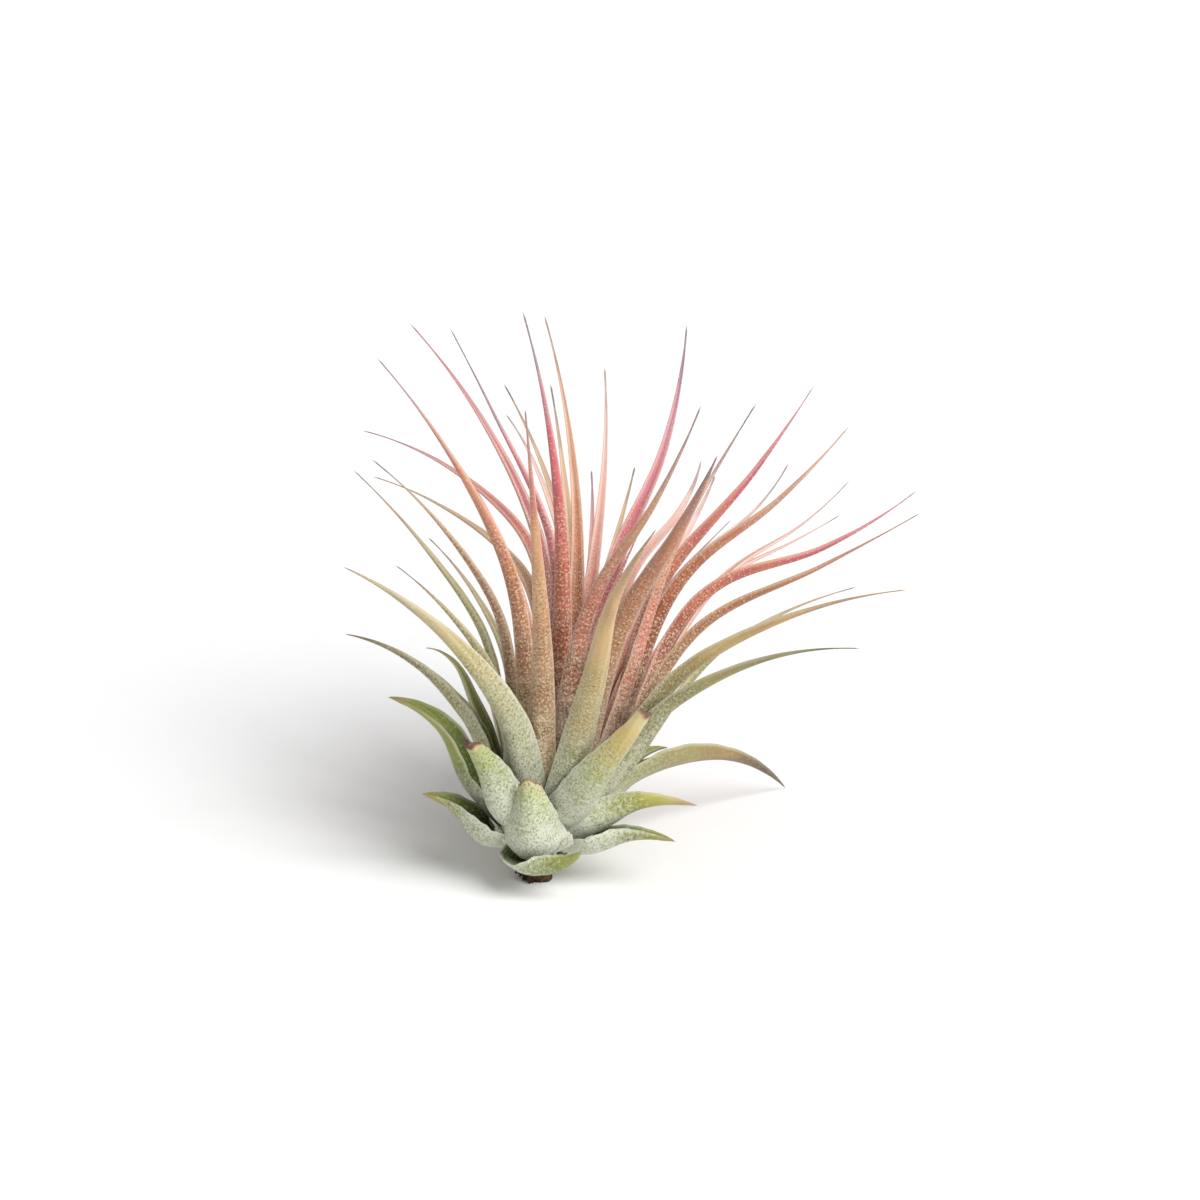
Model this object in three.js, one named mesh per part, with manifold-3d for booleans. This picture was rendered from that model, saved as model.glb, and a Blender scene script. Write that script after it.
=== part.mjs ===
// Sky plant: a rosette of narrow channelled leaves that leans back on its dead root stub.
// Millimetres, +Z up. The origin is the middle of the small flat spot under the root stub.
//
// Every leaf is a thin channelled blade along one smooth midline. The midline starts on the short
// egg-shaped stem, passes a low place and the leaf's middle, and ends at its tip. The places are
// [right, up, front] in the plant's own leaning frame: up runs along the leaning plant, and front
// points out of its face. A low place without a front lies on the way to the middle.

import * as THREE from "three";
import { mergeVertices } from "three/addons/utils/BufferGeometryUtils.js";
import Module from "manifold-3d";

const wasm = await Module();
wasm.setup();

// The plant leans back from upright by this many degrees, and its axis runs this way in its own frame.
const LEAN = 22;
const AXIS = [0.1, 1, 0];

// Egg-shaped stem. All leaves point away from its heart.
const HEART_HEIGHT = 10;
const STEM_RADIUS = 5;
const STEM_FOOT_RADIUS = 3.2;
const STEM_FOOT_HEIGHT = 3;
const STEM_SIDES = 16;
const STEM_STEPS = 6;

// Dead root stub under the stem, with the flat spot that the plant stands on. It bulges to the left.
const SPOT_RADIUS = 2;
const STUB_RADIUS = 3.2;
const STUB_HEIGHT = 1.3;
const STUB_BULGE = [-1.2, 0, 0];
const STUB_SIDES = 9;
const STUB_ROUGHNESS = 0.14;

// Clearance between neighbours.
const CLEARANCE = 0.3;

// Thickness in the middle of a narrow and of a wide blade, and at their margins. The root and the tip
// keep these shares of it.
const NARROW_THICKNESS = 1.3;
const WIDE_THICKNESS = 1.6;
const MARGIN_THICKNESS = 0.6;
const ROOT_THICKNESS_SHARE = 0.55;
const TIP_THICKNESS_SHARE = 0.5;
const MARGIN_THINNING = 0.6;

// Heights of the youngest and the oldest root on the stem, and how steeply their sheaths rise, in
// degrees above the plane across the stem. Each root is sunk a little into the stem.
const YOUNGEST_ROOT = 13;
const OLDEST_ROOT = 3.5;
const YOUNGEST_RISE = 85;
const OLDEST_RISE = 5;
const ROOT_SINK = 0.8;

// Share of its width that a leaf has at its root. Past the sheath the width falls off as a power of
// the way left to the tip, for a narrow and for a broad leaf, down to a slender awl and its point.
const ROOT_WIDTH_SHARE = 0.5;
const NARROW_TAPER = 1.5;
const BROAD_TAPER = 1.9;
const AWL_WIDTH = 1.6;
const TIP_WIDTH = 0.9;

// The sheath wraps the axis, at most by this angle each way, in radians, and between these shares of
// the length it turns into a channel, whose sides then bend up from one angle to the other.
const WIDEST_WRAP = 1.6;
const WRAP_ENDS = [0.08, 0.3];
const CHANNEL_BENDS = [0.85, 1.2];

// Points across a blade, and steps along it.
const ACROSS = 4;
const RINGS = 10;

// Colours from the warm inner leaves to the scurfy grey-green outer ones.
const TONES = {
  rose: "#b0606a",
  coral: "#c4786a",
  blush: "#cfa093",
  tan: "#bd8a64",
  brown: "#a06d4b",
  straw: "#b9ab6c",
  olive: "#8f9258",
  green: "#7f9157",
  scurf: "#98a08a",
  stem: "#8c8a6a",
  bark: "#3d3126",
};

// Leaves from the youngest, in the heart, to the oldest, at the foot: name, low place, middle, tip,
// width at the base, and tone. A cut leaf keeps that share of its width at its end, an open one is
// turned by so many degrees to show its face to the front, and a taper is a power of its own.
const leaves = [
  ["heart_leaf_1", [3.7, 49], [2.9, 66, 12], [-2.9, 96.2, 20], 6.5, "tan"],
  ["heart_leaf_2", [6.3, 49], [6, 66.8, -11], [0.7, 95.9, -18], 6, "tan"],
  ["heart_leaf_3", [1.4, 58.3], [-8.2, 79.6, 3], [-15.3, 93.5, 5], 5.5, "coral"],
  ["heart_leaf_4", [-1, 59.2], [-9.9, 77.9, -13], [-22.3, 94.5, -15], 6.5, "rose"],
  ["heart_leaf_5", [13.2, 54.5], [21.2, 73.3, -6], [25, 94.2, -9], 6.5, "rose"],
  ["heart_leaf_6", [-2.2, 43], [-7.1, 58.7, 9], [-14, 70.7, 9], 5.5, "coral"],
  ["heart_leaf_7", [9.2, 39.6], [13.1, 50.3, 7], [17.9, 60.9, 9], 5.5, "rose"],
  ["back_leaf_1", [5.4, 54], [3.6, 71.9, -26], [1.7, 84.3, -36], 5.5, "blush"],
  ["back_leaf_2", [3.4, 60.9], [-1.4, 74.5, -22], [-6.3, 84.3, -28], 5.5, "blush"],
  ["back_leaf_3", [3.4, 58.2], [-1.1, 70.7, -40], [-6, 79.2, -52], 5.5, "blush"],
  ["back_leaf_4", [9.2, 53.7], [11, 71, -26], [11, 87.2, -38], 6, "blush"],
  ["back_leaf_5", [8.5, 52.4], [8.9, 62.9, -47], [8.7, 69.7, -57], 5.5, "tan"],
  ["back_leaf_6", [11.2, 51.5], [14.3, 62.6, -40], [16.2, 70.2, -52], 5.5, "tan"],
  ["left_leaf_1", [-6.3, 54.4], [-16.2, 73.3, 22], [-27.5, 88.2, 27], 6.5, "tan"],
  ["left_leaf_2", [-4.3, 60.2], [-16.3, 70.3, -20], [-30.6, 76.3, -26], 6, "blush"],
  ["left_leaf_3", [-5.3, 54.6], [-16.7, 63.2, -34], [-28.9, 68.5, -42], 6, "olive"],
  ["left_leaf_4", [-8.5, 47.6], [-17.7, 60.9, 9], [-28.6, 71.2, 12], 6, "tan"],
  ["left_leaf_5", [-7.8, 42.3], [-13.4, 51.5, -13], [-19.2, 58, -17], 5.5, "olive"],
  ["left_leaf_6", [-10.9, 43.7], [-19.9, 56.6, -3], [-31.8, 69.4, -6], 6, "olive"],
  ["left_leaf_7", [-9.9, 37.7], [-16, 45.6, 10], [-24.5, 53.2, 14], 6, "olive"],
  ["right_leaf_1", [10.4, 49.8], [19.4, 63.6, 30], [27.2, 80, 40], 6.5, "tan"],
  ["right_leaf_2", [26.2, 62.9], [32, 72.9, 14], [36.7, 80.6, 18], 6, "tan"],
  ["right_leaf_3", [22.3, 51.9], [36.1, 68.5, -9], [46.8, 84, -13], 6.5, "rose"],
  ["right_leaf_4", [16.3, 46.8], [23.3, 58.3, 33], [30, 71.7, 46], 8, "brown"],
  ["right_leaf_5", [17, 54.4], [23.1, 61.5, -20], [27.5, 71.2, -28], 6, "blush"],
  ["right_leaf_6", [21.3, 52], [26.7, 61.7, -35], [30, 68.7, -45], 6, "blush"],
  ["right_leaf_7", [26.9, 53.5], [40.3, 64, 9.5], [52.4, 76.7, 12], 6.5, "tan"],
  ["right_leaf_8", [27.5, 54.9], [36.8, 62.7, -31], [42.6, 70.8, -38], 6, "blush"],
  ["right_leaf_9", [23.8, 52], [28.2, 56.6, 0], [32.6, 61, -1], 5.5, "coral"],
  ["right_leaf_10", [34.5, 53.6], [44.8, 60.2, -26], [53, 67.8, -32], 6, "blush"],
  ["right_leaf_11", [32, 50.5], [47.6, 55.8, -9], [64.3, 66, -12], 6, "rose"],
  ["right_leaf_12", [34.5, 52.9], [43.2, 57.2, -43], [51.7, 62, -52], 6, "blush"],
  ["right_leaf_13", [29.8, 44.4], [47.6, 52.9, 18], [64.4, 62, 24], 6.5, "tan"],
  ["right_leaf_14", [34, 41.1], [44.9, 46.6, 1], [53.9, 49.5, 0], 6, "coral"],
  ["right_leaf_15", [27.2, 36.7], [44.2, 45.1, 29], [62, 49, 38], 8, "tan"],
  ["right_leaf_16", [23.8, 30.3], [38.3, 37.3, 30], [54, 39.1, 40], 8, "olive"],
  ["front_leaf_1", [0.3, 37], [-0.9, 60.9, 36], [-2.4, 79.4, 50], 7.5, "tan"],
  ["front_leaf_2", [8.8, 31.1], [13.3, 48.3, 46], [19.7, 59.2, 60], 8.5, "olive"],
  ["front_leaf_3", [-6.8, 28.6, 17], [-18, 42.8, 24], [-33.2, 52.9, 30], 13, "straw"],
  ["front_leaf_4", [6.6, 11.8, 13], [11.9, 18.9, 20], [18.2, 27.8, 26], 9.5, "green", { cut: 0.25 }],
  ["front_leaf_5", [-6.8, 11, 12], [-9.3, 17.2, 15], [-12.3, 22.4, 18], 11, "scurf", { cut: 0.28 }],
  ["front_leaf_6", [-1.5, 3.6, 10], [-2, 8.5, 15], [-2.4, 16.4, 17], 14, "scurf", { cut: 0.3 }],
  ["side_leaf_1", [-10.9, 28.6], [-14.5, 36.4, -8], [-19.6, 39.1, -14], 8.5, "olive", { open: 20 }],
  ["side_leaf_2", [-13, 27.5], [-20.5, 35.8, -3], [-33.3, 41.5, -6], 11, "straw"],
  ["side_leaf_3", [-12.4, 16, 5], [-17.4, 26, 6], [-25.8, 30.8, 4], 12, "green", { open: 45, taper: 1.1 }],
  ["side_leaf_4", [11.9, 15.8], [17, 20.6, -7], [21.8, 22.1, -12], 10, "green", { open: 30, taper: 1.3 }],
  ["side_leaf_5", [16.5, 17, -7], [26, 20.2, -15], [42, 15, -37], 10, "olive", { open: -20, taper: 1.3 }],
  ["foot_leaf_1", [8, 8, 7], [17, 12.4, 9], [26.7, 12.4, 10], 12.5, "green", { open: -30, taper: 1.4 }],
  ["foot_leaf_2", [-10, 6.6, 5], [-15.8, 12.6, 7], [-20, 14.4, 8], 14.5, "green", { open: 30, taper: 1.1 }],
  ["foot_leaf_3", [9, 4.8, 6.5], [15.5, 6.9, 8], [23, 6.3, 9], 11, "green", { open: 25, taper: 1.2 }],
  ["foot_leaf_4", [-2, 2.2, 8], [1.2, 1.2, 12], [7.1, 3.6, 15], 12, "green", { taper: 1.4 }],
  ["rear_leaf_1", [-3, 15], [-5, 22, -22], [-9, 17, -42], 8, "scurf"],
  ["rear_leaf_2", [4, 15], [7, 22, -23], [11, 17.8, -44], 8, "scurf"],
  ["rear_leaf_3", [-4, 12], [-7, 14, -15], [-11, 13, -27], 8, "scurf"],
  ["rear_leaf_4", [5, 11], [9, 13, -15], [13, 12, -27], 8, "scurf"],
  ["rear_leaf_5", [0.5, 19.5], [1, 30.5, -31], [3, 38, -56], 7.5, "olive"],
  ["rear_leaf_6", [-5, 19], [-8, 30, -20], [-12, 38, -40], 7.5, "olive"],
  ["rear_leaf_7", [7, 17], [11.5, 25, -23], [19, 29, -46], 7.5, "olive"],
].map(([name, low, middle, tip, width, tone, extra]) => ({ name, low, middle, tip, width, tone, ...extra }));

const leanSine = Math.sin(THREE.MathUtils.degToRad(LEAN));
const leanCosine = Math.cos(THREE.MathUtils.degToRad(LEAN));
const mix = THREE.MathUtils.lerp;
const smooth = THREE.MathUtils.smoothstep;

// From [right, up, front] in the leaning frame to the part's own frame.
function place([right, up, front]) {
  return new THREE.Vector3(right, up * leanSine - front * leanCosine, up * leanCosine + front * leanSine);
}

const axis = place(AXIS).normalize();
const front = place([0, 0, 1]);
const rightward = new THREE.Vector3(1, 0, 0).projectOnPlane(axis).normalize();
const backward = axis.clone().cross(rightward);

// A direction away from the axis, turned by an azimuth from the plant's right side towards its back.
function outward(azimuth) {
  return rightward.clone().multiplyScalar(Math.cos(azimuth)).addScaledVector(backward, Math.sin(azimuth));
}

// Radius of the stem at a height along it: a cone up to the heart, and a dome over it.
function stemRadius(height) {
  if (height > HEART_HEIGHT) return Math.sqrt(Math.max(STEM_RADIUS ** 2 - (height - HEART_HEIGHT) ** 2, 0));
  return mix(STEM_FOOT_RADIUS, STEM_RADIUS, smooth(height, STEM_FOOT_HEIGHT, HEART_HEIGHT));
}

// Distance of a place from the heart, in the plane that is seen from the front.
function reach([right, up]) {
  return Math.hypot(right - AXIS[0] * HEART_HEIGHT, up - AXIS[1] * HEART_HEIGHT);
}

// Midline of a leaf: smooth stretches through its low place and its middle, whose directions there
// follow the circle through the neighbouring places, and a last stretch that bends evenly to the tip.
// The older a leaf, the lower it sits on the stem and the flatter it starts.
class Midline extends THREE.Curve {
  constructor(leaf) {
    super();
    const age = leaves.indexOf(leaf) / (leaves.length - 1);
    const onTheWay = (leaf.middle[2] * reach(leaf.low)) / reach(leaf.middle);
    const low = place([leaf.low[0], leaf.low[1], leaf.low[2] ?? onTheWay]);
    const away = low.clone().projectOnPlane(axis).normalize();
    const height = mix(YOUNGEST_ROOT, OLDEST_ROOT, age);
    const root = axis.clone().multiplyScalar(height).addScaledVector(away, stemRadius(height) - ROOT_SINK);
    const rise = THREE.MathUtils.degToRad(mix(YOUNGEST_RISE, OLDEST_RISE, age));
    const start = axis.clone().multiplyScalar(Math.sin(rise)).addScaledVector(away, Math.cos(rise));
    const knots = [root, low, place(leaf.middle), place(leaf.tip)];
    const steps = [0, 1, 2].map((i) => knots[i + 1].clone().sub(knots[i]));
    const lengths = steps.map((step) => step.length());
    const bends = [0, 1].map((i) =>
      steps[i]
        .clone()
        .multiplyScalar(lengths[i + 1] / lengths[i])
        .addScaledVector(steps[i + 1], lengths[i] / lengths[i + 1])
        .normalize(),
    );
    const directions = [start, bends[0], bends[1]];
    const total = lengths[0] + lengths[1] + lengths[2];
    this.joints = [0, lengths[0] / total, (lengths[0] + lengths[1]) / total, 1];
    this.stretches = [0, 1].map((i) => {
      const leaving = knots[i].clone().addScaledVector(directions[i], lengths[i] / 3);
      const arriving = knots[i + 1].clone().addScaledVector(directions[i + 1], -lengths[i] / 3);
      return new THREE.CubicBezierCurve3(knots[i], leaving, arriving, knots[i + 1]);
    });
    const turning = knots[2].clone().addScaledVector(directions[2], lengths[2] / 2);
    this.stretches.push(new THREE.QuadraticBezierCurve3(knots[2], turning, knots[3]));
  }

  getPoint(t, target = new THREE.Vector3()) {
    const i = t < this.joints[1] ? 0 : t < this.joints[2] ? 1 : 2;
    const share = (t - this.joints[i]) / (this.joints[i + 1] - this.joints[i]);
    return this.stretches[i].getPoint(share, target);
  }
}

// Width of a blade at t, from the root at 0 to the tip at 1. A cut leaf widens over its first fifth,
// and narrows evenly past its first quarter.
function widthAt(leaf, t) {
  const root = mix(ROOT_WIDTH_SHARE, 1, smooth(t, 0, leaf.cut ? 0.2 : 0.1));
  if (leaf.cut) return leaf.width * root * mix(1, leaf.cut, Math.max(t / 0.75 - 1 / 3, 0));
  const power = leaf.taper ?? mix(NARROW_TAPER, BROAD_TAPER, smooth(leaf.width, 7, 12));
  return Math.max(leaf.width * root * (1 - t) ** power + AWL_WIDTH * t * Math.sqrt(1 - t), TIP_WIDTH);
}

// The middle surface of a leaf at t along it and v across it, from -1 to 1. In the sheath it bends
// round the plant's axis. Further out it is a channel that opens towards the axis, or that is turned
// by some degrees to open towards the front.
function middleSurface(leaf, curve, t, v) {
  const point = curve.getPoint(t);
  const tangent = curve.getTangent(t);
  const half = widthAt(leaf, t) / 2;
  const radial = point.clone().projectOnPlane(axis);
  const radius = radial.length();
  const azimuth = Math.atan2(radial.dot(backward), radial.dot(rightward));
  const turn = Math.min(half / radius, WIDEST_WRAP);
  const wrapped = outward(azimuth + v * turn).sub(outward(azimuth)).multiplyScalar(radius);
  const toMiddle = curve.getPoint(0.5).projectOnPlane(axis);
  const around = axis.clone().cross(toMiddle);
  const side = around.projectOnPlane(tangent).normalize();
  const inside = tangent.clone().cross(side);
  if (leaf.open) {
    const sense = Math.sign(inside.clone().cross(front).dot(tangent));
    const angle = sense * THREE.MathUtils.degToRad(leaf.open) * smooth(t, 0.1, 0.5);
    side.applyAxisAngle(tangent, angle);
    inside.applyAxisAngle(tangent, angle);
  }
  const bend = mix(...CHANNEL_BENDS, smooth(t, 0.2, 0.6));
  const curl = half / Math.sin(bend);
  const channel = side
    .multiplyScalar(curl * Math.sin(bend * v))
    .addScaledVector(inside, curl * (1 - Math.cos(bend * v)));
  return point.add(wrapped.lerp(channel, smooth(t, ...WRAP_ENDS)));
}

// One leaf as a closed mesh: the middle surface, thickened both ways along its normal. Its tip is a
// point, or flat where the leaf was cut. With a clearance it grows on all sides, to cut its neighbours.
function leafGeometry(leaf, clearance = 0) {
  const curve = new Midline(leaf);
  const full = mix(NARROW_THICKNESS, WIDE_THICKNESS, smooth(leaf.width, 4, 9));
  const last = leaf.cut ? 1 : 1 - TIP_WIDTH / RINGS;
  const positions = [];
  const index = [];
  const grid = [];
  for (let j = 0; j <= RINGS; j += 1) {
    const row = [];
    for (let k = 0; k < ACROSS; k += 1) {
      row.push(middleSurface(leaf, curve, (j / RINGS) * last, (2 * k) / (ACROSS - 1) - 1));
    }
    grid.push(row);
  }
  for (let j = 0; j <= RINGS; j += 1) {
    const t = (j / RINGS) * last;
    const rootShare = mix(ROOT_THICKNESS_SHARE, 1, smooth(t, 0.05, 0.3));
    const tipShare = mix(1, TIP_THICKNESS_SHARE, smooth(t, 0.4, 1));
    const depth = full * rootShare * tipShare;
    for (let i = 0; i < 2 * ACROSS; i += 1) {
      const face = i < ACROSS ? 1 : -1;
      const k = i < ACROSS ? i : 2 * ACROSS - 1 - i;
      const v = (2 * k) / (ACROSS - 1) - 1;
      const along = grid[Math.min(j + 1, RINGS)][k].clone().sub(grid[Math.max(j - 1, 0)][k]);
      const across = grid[j][Math.min(k + 1, ACROSS - 1)].clone().sub(grid[j][Math.max(k - 1, 0)]);
      const normal = along.clone().cross(across).normalize();
      const half = Math.max(depth * (1 - MARGIN_THINNING * v * v), MARGIN_THICKNESS) / 2 + clearance;
      const point = grid[j][k].clone().addScaledVector(normal, face * half);
      if (Math.abs(v) === 1) point.addScaledVector(across.normalize(), v * clearance);
      positions.push(...point);
    }
  }
  const around = 2 * ACROSS;
  const corner = (j, k) => j * around + (k % around);
  for (let j = 0; j < RINGS; j += 1) {
    for (let k = 0; k < around; k += 1) {
      const [a, b, c, d] = [corner(j, k), corner(j, k + 1), corner(j + 1, k + 1), corner(j + 1, k)];
      if (k >= ACROSS && k < around - 1) index.push(a, c, b, a, d, c);
      else index.push(a, d, b, b, d, c);
    }
  }
  for (let k = 0; k < ACROSS - 1; k += 1) {
    const [a, b] = [corner(0, k), corner(0, k + 1)];
    const [c, d] = [corner(0, around - 2 - k), corner(0, around - 1 - k)];
    index.push(a, b, c, a, c, d);
  }
  if (leaf.cut) {
    for (let k = 0; k < ACROSS - 1; k += 1) {
      const [a, b] = [corner(RINGS, k), corner(RINGS, k + 1)];
      const [c, d] = [corner(RINGS, around - 2 - k), corner(RINGS, around - 1 - k)];
      index.push(d, c, b, d, b, a);
    }
  } else {
    const apex = positions.length / 3;
    positions.push(...curve.getPoint(1).addScaledVector(curve.getTangent(1), clearance));
    for (let k = 0; k < around; k += 1) index.push(corner(RINGS, k + 1), corner(RINGS, k), apex);
  }
  const geometry = new THREE.BufferGeometry();
  geometry.setAttribute("position", new THREE.Float32BufferAttribute(positions, 3));
  geometry.setIndex(index);
  return geometry;
}

// The stem, turned about the plant's axis.
function stemGeometry(clearance = 0) {
  const bottom = STEM_FOOT_HEIGHT - clearance;
  const top = HEART_HEIGHT + STEM_RADIUS;
  const profile = [new THREE.Vector2(0, bottom)];
  for (let i = 0; i < STEM_STEPS; i += 1) {
    const height = mix(STEM_FOOT_HEIGHT, top, Math.sin((Math.PI / 2) * (i / STEM_STEPS)));
    profile.push(new THREE.Vector2(stemRadius(height) + clearance, i ? height : bottom));
  }
  profile.push(new THREE.Vector2(0, top + clearance));
  const geometry = new THREE.LatheGeometry(profile, STEM_SIDES);
  geometry.applyQuaternion(new THREE.Quaternion().setFromUnitVectors(new THREE.Vector3(0, 1, 0), axis));
  return geometry;
}

// The root stub: rough rings from the flat spot on the ground up to the foot of the stem.
function stubGeometry(clearance = 0) {
  const up = new THREE.Vector3(0, 0, 1);
  const top = STEM_FOOT_HEIGHT - CLEARANCE;
  const bulge = axis.clone().multiplyScalar(STUB_HEIGHT).add(place(STUB_BULGE));
  const rings = [
    { centre: new THREE.Vector3(), normal: up, radius: SPOT_RADIUS },
    { centre: bulge, normal: up.clone().add(axis), radius: STUB_RADIUS },
    { centre: axis.clone().multiplyScalar(top), normal: axis, radius: STEM_FOOT_RADIUS },
  ];
  const positions = [];
  const index = [];
  for (const [j, ring] of rings.entries()) {
    const tilt = new THREE.Quaternion().setFromUnitVectors(up, ring.normal.clone().normalize());
    for (let k = 0; k < STUB_SIDES; k += 1) {
      const angle = (2 * Math.PI * k) / STUB_SIDES;
      const rough = 1 + STUB_ROUGHNESS * Math.sin(3 * angle + 2 * j);
      const point = new THREE.Vector3(Math.cos(angle), Math.sin(angle), 0);
      point.multiplyScalar(ring.radius * rough + clearance).applyQuaternion(tilt).add(ring.centre);
      positions.push(...point);
    }
  }
  const foot = positions.length / 3;
  positions.push(0, 0, 0, ...axis.clone().multiplyScalar(top));
  for (let k = 0; k < STUB_SIDES; k += 1) {
    const next = (k + 1) % STUB_SIDES;
    for (let j = 0; j < rings.length - 1; j += 1) {
      const [low, high] = [j * STUB_SIDES, (j + 1) * STUB_SIDES];
      index.push(low + k, low + next, high + k, low + next, high + next, high + k);
    }
    const rim = (rings.length - 1) * STUB_SIDES;
    index.push(foot, next, k, foot + 1, rim + k, rim + next);
  }
  const geometry = new THREE.BufferGeometry();
  geometry.setAttribute("position", new THREE.Float32BufferAttribute(positions, 3));
  geometry.setIndex(index);
  return geometry;
}

// A closed geometry as a solid that can be cut.
function solidOf(geometry) {
  const bare = geometry.clone();
  bare.deleteAttribute("normal");
  bare.deleteAttribute("uv");
  const merged = mergeVertices(bare, 1e-4);
  return new wasm.Manifold(
    new wasm.Mesh({
      numProp: 3,
      vertProperties: new Float32Array(merged.attributes.position.array),
      triVerts: new Uint32Array(merged.index.array),
    }),
  );
}

// A solid's largest body, without the scraps that a cut leaves.
function largestBody(solid) {
  return solid.decompose().reduce((best, body) => (body.volume() > best.volume() ? body : best));
}

// A cut solid as a geometry again.
function geometryOf(solid) {
  const mesh = solid.getMesh();
  const geometry = new THREE.BufferGeometry();
  geometry.setAttribute("position", new THREE.BufferAttribute(new Float32Array(mesh.vertProperties), 3));
  geometry.setIndex(new THREE.BufferAttribute(new Uint32Array(mesh.triVerts), 1));
  geometry.computeVertexNormals();
  return geometry;
}

const plant = new THREE.Group();

function addPiece(name, geometry, tone, roughness) {
  const material = new THREE.MeshStandardMaterial({ color: TONES[tone], roughness, metalness: 0 });
  const piece = new THREE.Mesh(geometry, material);
  piece.name = name;
  plant.add(piece);
}

addPiece("root_stub", stubGeometry(), "bark", 0.95);
addPiece("stem", stemGeometry(), "stem", 0.8);

// Each leaf lies clear of the stem, the stub and all younger leaves, which it is pressed against.
const neighbours = [solidOf(stemGeometry(CLEARANCE)), solidOf(stubGeometry(CLEARANCE))];
for (const leaf of leaves) {
  let solid = solidOf(leafGeometry(leaf));
  for (const neighbour of neighbours) {
    if (solid.intersect(neighbour).volume() > 0) solid = largestBody(solid.subtract(neighbour));
  }
  neighbours.push(solidOf(leafGeometry(leaf, CLEARANCE)));
  addPiece(leaf.name, geometryOf(solid), leaf.tone, 0.7);
}

export default plant;
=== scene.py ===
# A sky plant: a rosette of narrow channelled leaves on a short stem, leaning back on its dead root
# stub. Fine scales frost the leaves, which are grey-green at the foot and flushed gold and rose above.

import bpy
import numpy as np
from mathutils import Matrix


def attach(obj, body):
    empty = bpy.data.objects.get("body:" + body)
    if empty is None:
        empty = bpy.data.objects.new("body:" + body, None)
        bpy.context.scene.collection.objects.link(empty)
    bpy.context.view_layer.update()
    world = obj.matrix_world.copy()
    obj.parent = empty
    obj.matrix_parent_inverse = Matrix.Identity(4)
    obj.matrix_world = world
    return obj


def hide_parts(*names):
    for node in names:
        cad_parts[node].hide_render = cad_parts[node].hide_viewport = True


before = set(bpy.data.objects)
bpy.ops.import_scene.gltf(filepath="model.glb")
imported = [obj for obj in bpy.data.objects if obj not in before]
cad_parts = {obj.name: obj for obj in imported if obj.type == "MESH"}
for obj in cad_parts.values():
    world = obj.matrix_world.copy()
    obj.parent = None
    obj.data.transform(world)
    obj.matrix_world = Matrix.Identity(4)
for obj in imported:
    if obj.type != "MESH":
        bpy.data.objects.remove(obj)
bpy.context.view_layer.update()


# The dead root stub: what is left of the roots under the stem, dry brown cork with broken root ends.
# It grew out of the foot of the stem, bulges to the left, and stands on its small flat spot.

# Sizes are in mm, and MM turns them to metres.
MM = 0.001

# The plant leans back from upright by LEAN. Places in its own leaning frame are [right, up, front]:
# up runs along the leaning plant and front points out of its face. AXIS is its axis there.
LEAN = np.radians(22)
AXIS = (0.1, 1, 0)


def place(spots):
    """From the leaning frame to the part's frame: x = r, y = u sin L - f cos L, z = u cos L + f sin L."""
    right, up, front = np.moveaxis(np.asarray(spots, float), -1, 0)
    back, high = up * np.sin(LEAN) - front * np.cos(LEAN), up * np.cos(LEAN) + front * np.sin(LEAN)
    return np.stack([right, back, high], -1)


def unit(vectors):
    """Each vector divided by its length."""
    return vectors / np.linalg.norm(vectors, axis=-1, keepdims=True)


def smooth(x, low, high):
    """3 s^2 - 2 s^3, where s is the share of the way from low to high."""
    share = np.clip((x - low) / (high - low), 0, 1)
    return share * share * (3 - 2 * share)


def mix(a, b, share):
    """a + (b - a) share."""
    return a + (b - a) * share


axis = unit(place(AXIS))
rightward = unit(np.array([1, 0, 0]) - axis[0] * axis)
backward = np.cross(axis, rightward)


def outward(azimuth):
    """The direction cos a right + sin a back, away from the axis."""
    return np.cos(azimuth)[..., None] * rightward + np.sin(azimuth)[..., None] * backward


def colour(code):
    """An sRGB hex value as linear colour: ((c + 0.055) / 1.055)^2.4, or c / 12.92 where c is small."""
    c = np.array([int(code[i : i + 2], 16) / 255 for i in (1, 3, 5)])
    return (*np.where(c > 0.04045, ((c + 0.055) / 1.055) ** 2.4, c / 12.92), 1)


def add(tree, kind, inputs=(), stops=(), **settings):
    """Adds a node of a kind with its settings, its colour stops, and its inputs as values or links.
    Inputs go by name or number. A MapRange takes its value from input 0, and turns the range from 1
    to 2 to the range from 3 to 4, which is 0 to 1 if left out. A Mix has its colours at 6 and 7."""
    made = tree.nodes.new("ShaderNode" + kind)
    for name, value in settings.items():
        setattr(made, name, value)
    for i, (position, code) in enumerate(stops):
        elements = made.color_ramp.elements
        element = elements[i] if i < len(elements) else elements.new(position)
        element.position, element.color = position, colour(code)
    for name, value in dict(inputs).items():
        if isinstance(value, bpy.types.NodeSocket):
            tree.links.new(value, made.inputs[name])
        else:
            made.inputs[name].default_value = value
    return made


def new_material(name):
    """An empty node material and its node tree."""
    material = bpy.data.materials.new(name)
    material.use_nodes = True
    material.node_tree.nodes.clear()
    return material, material.node_tree


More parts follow.
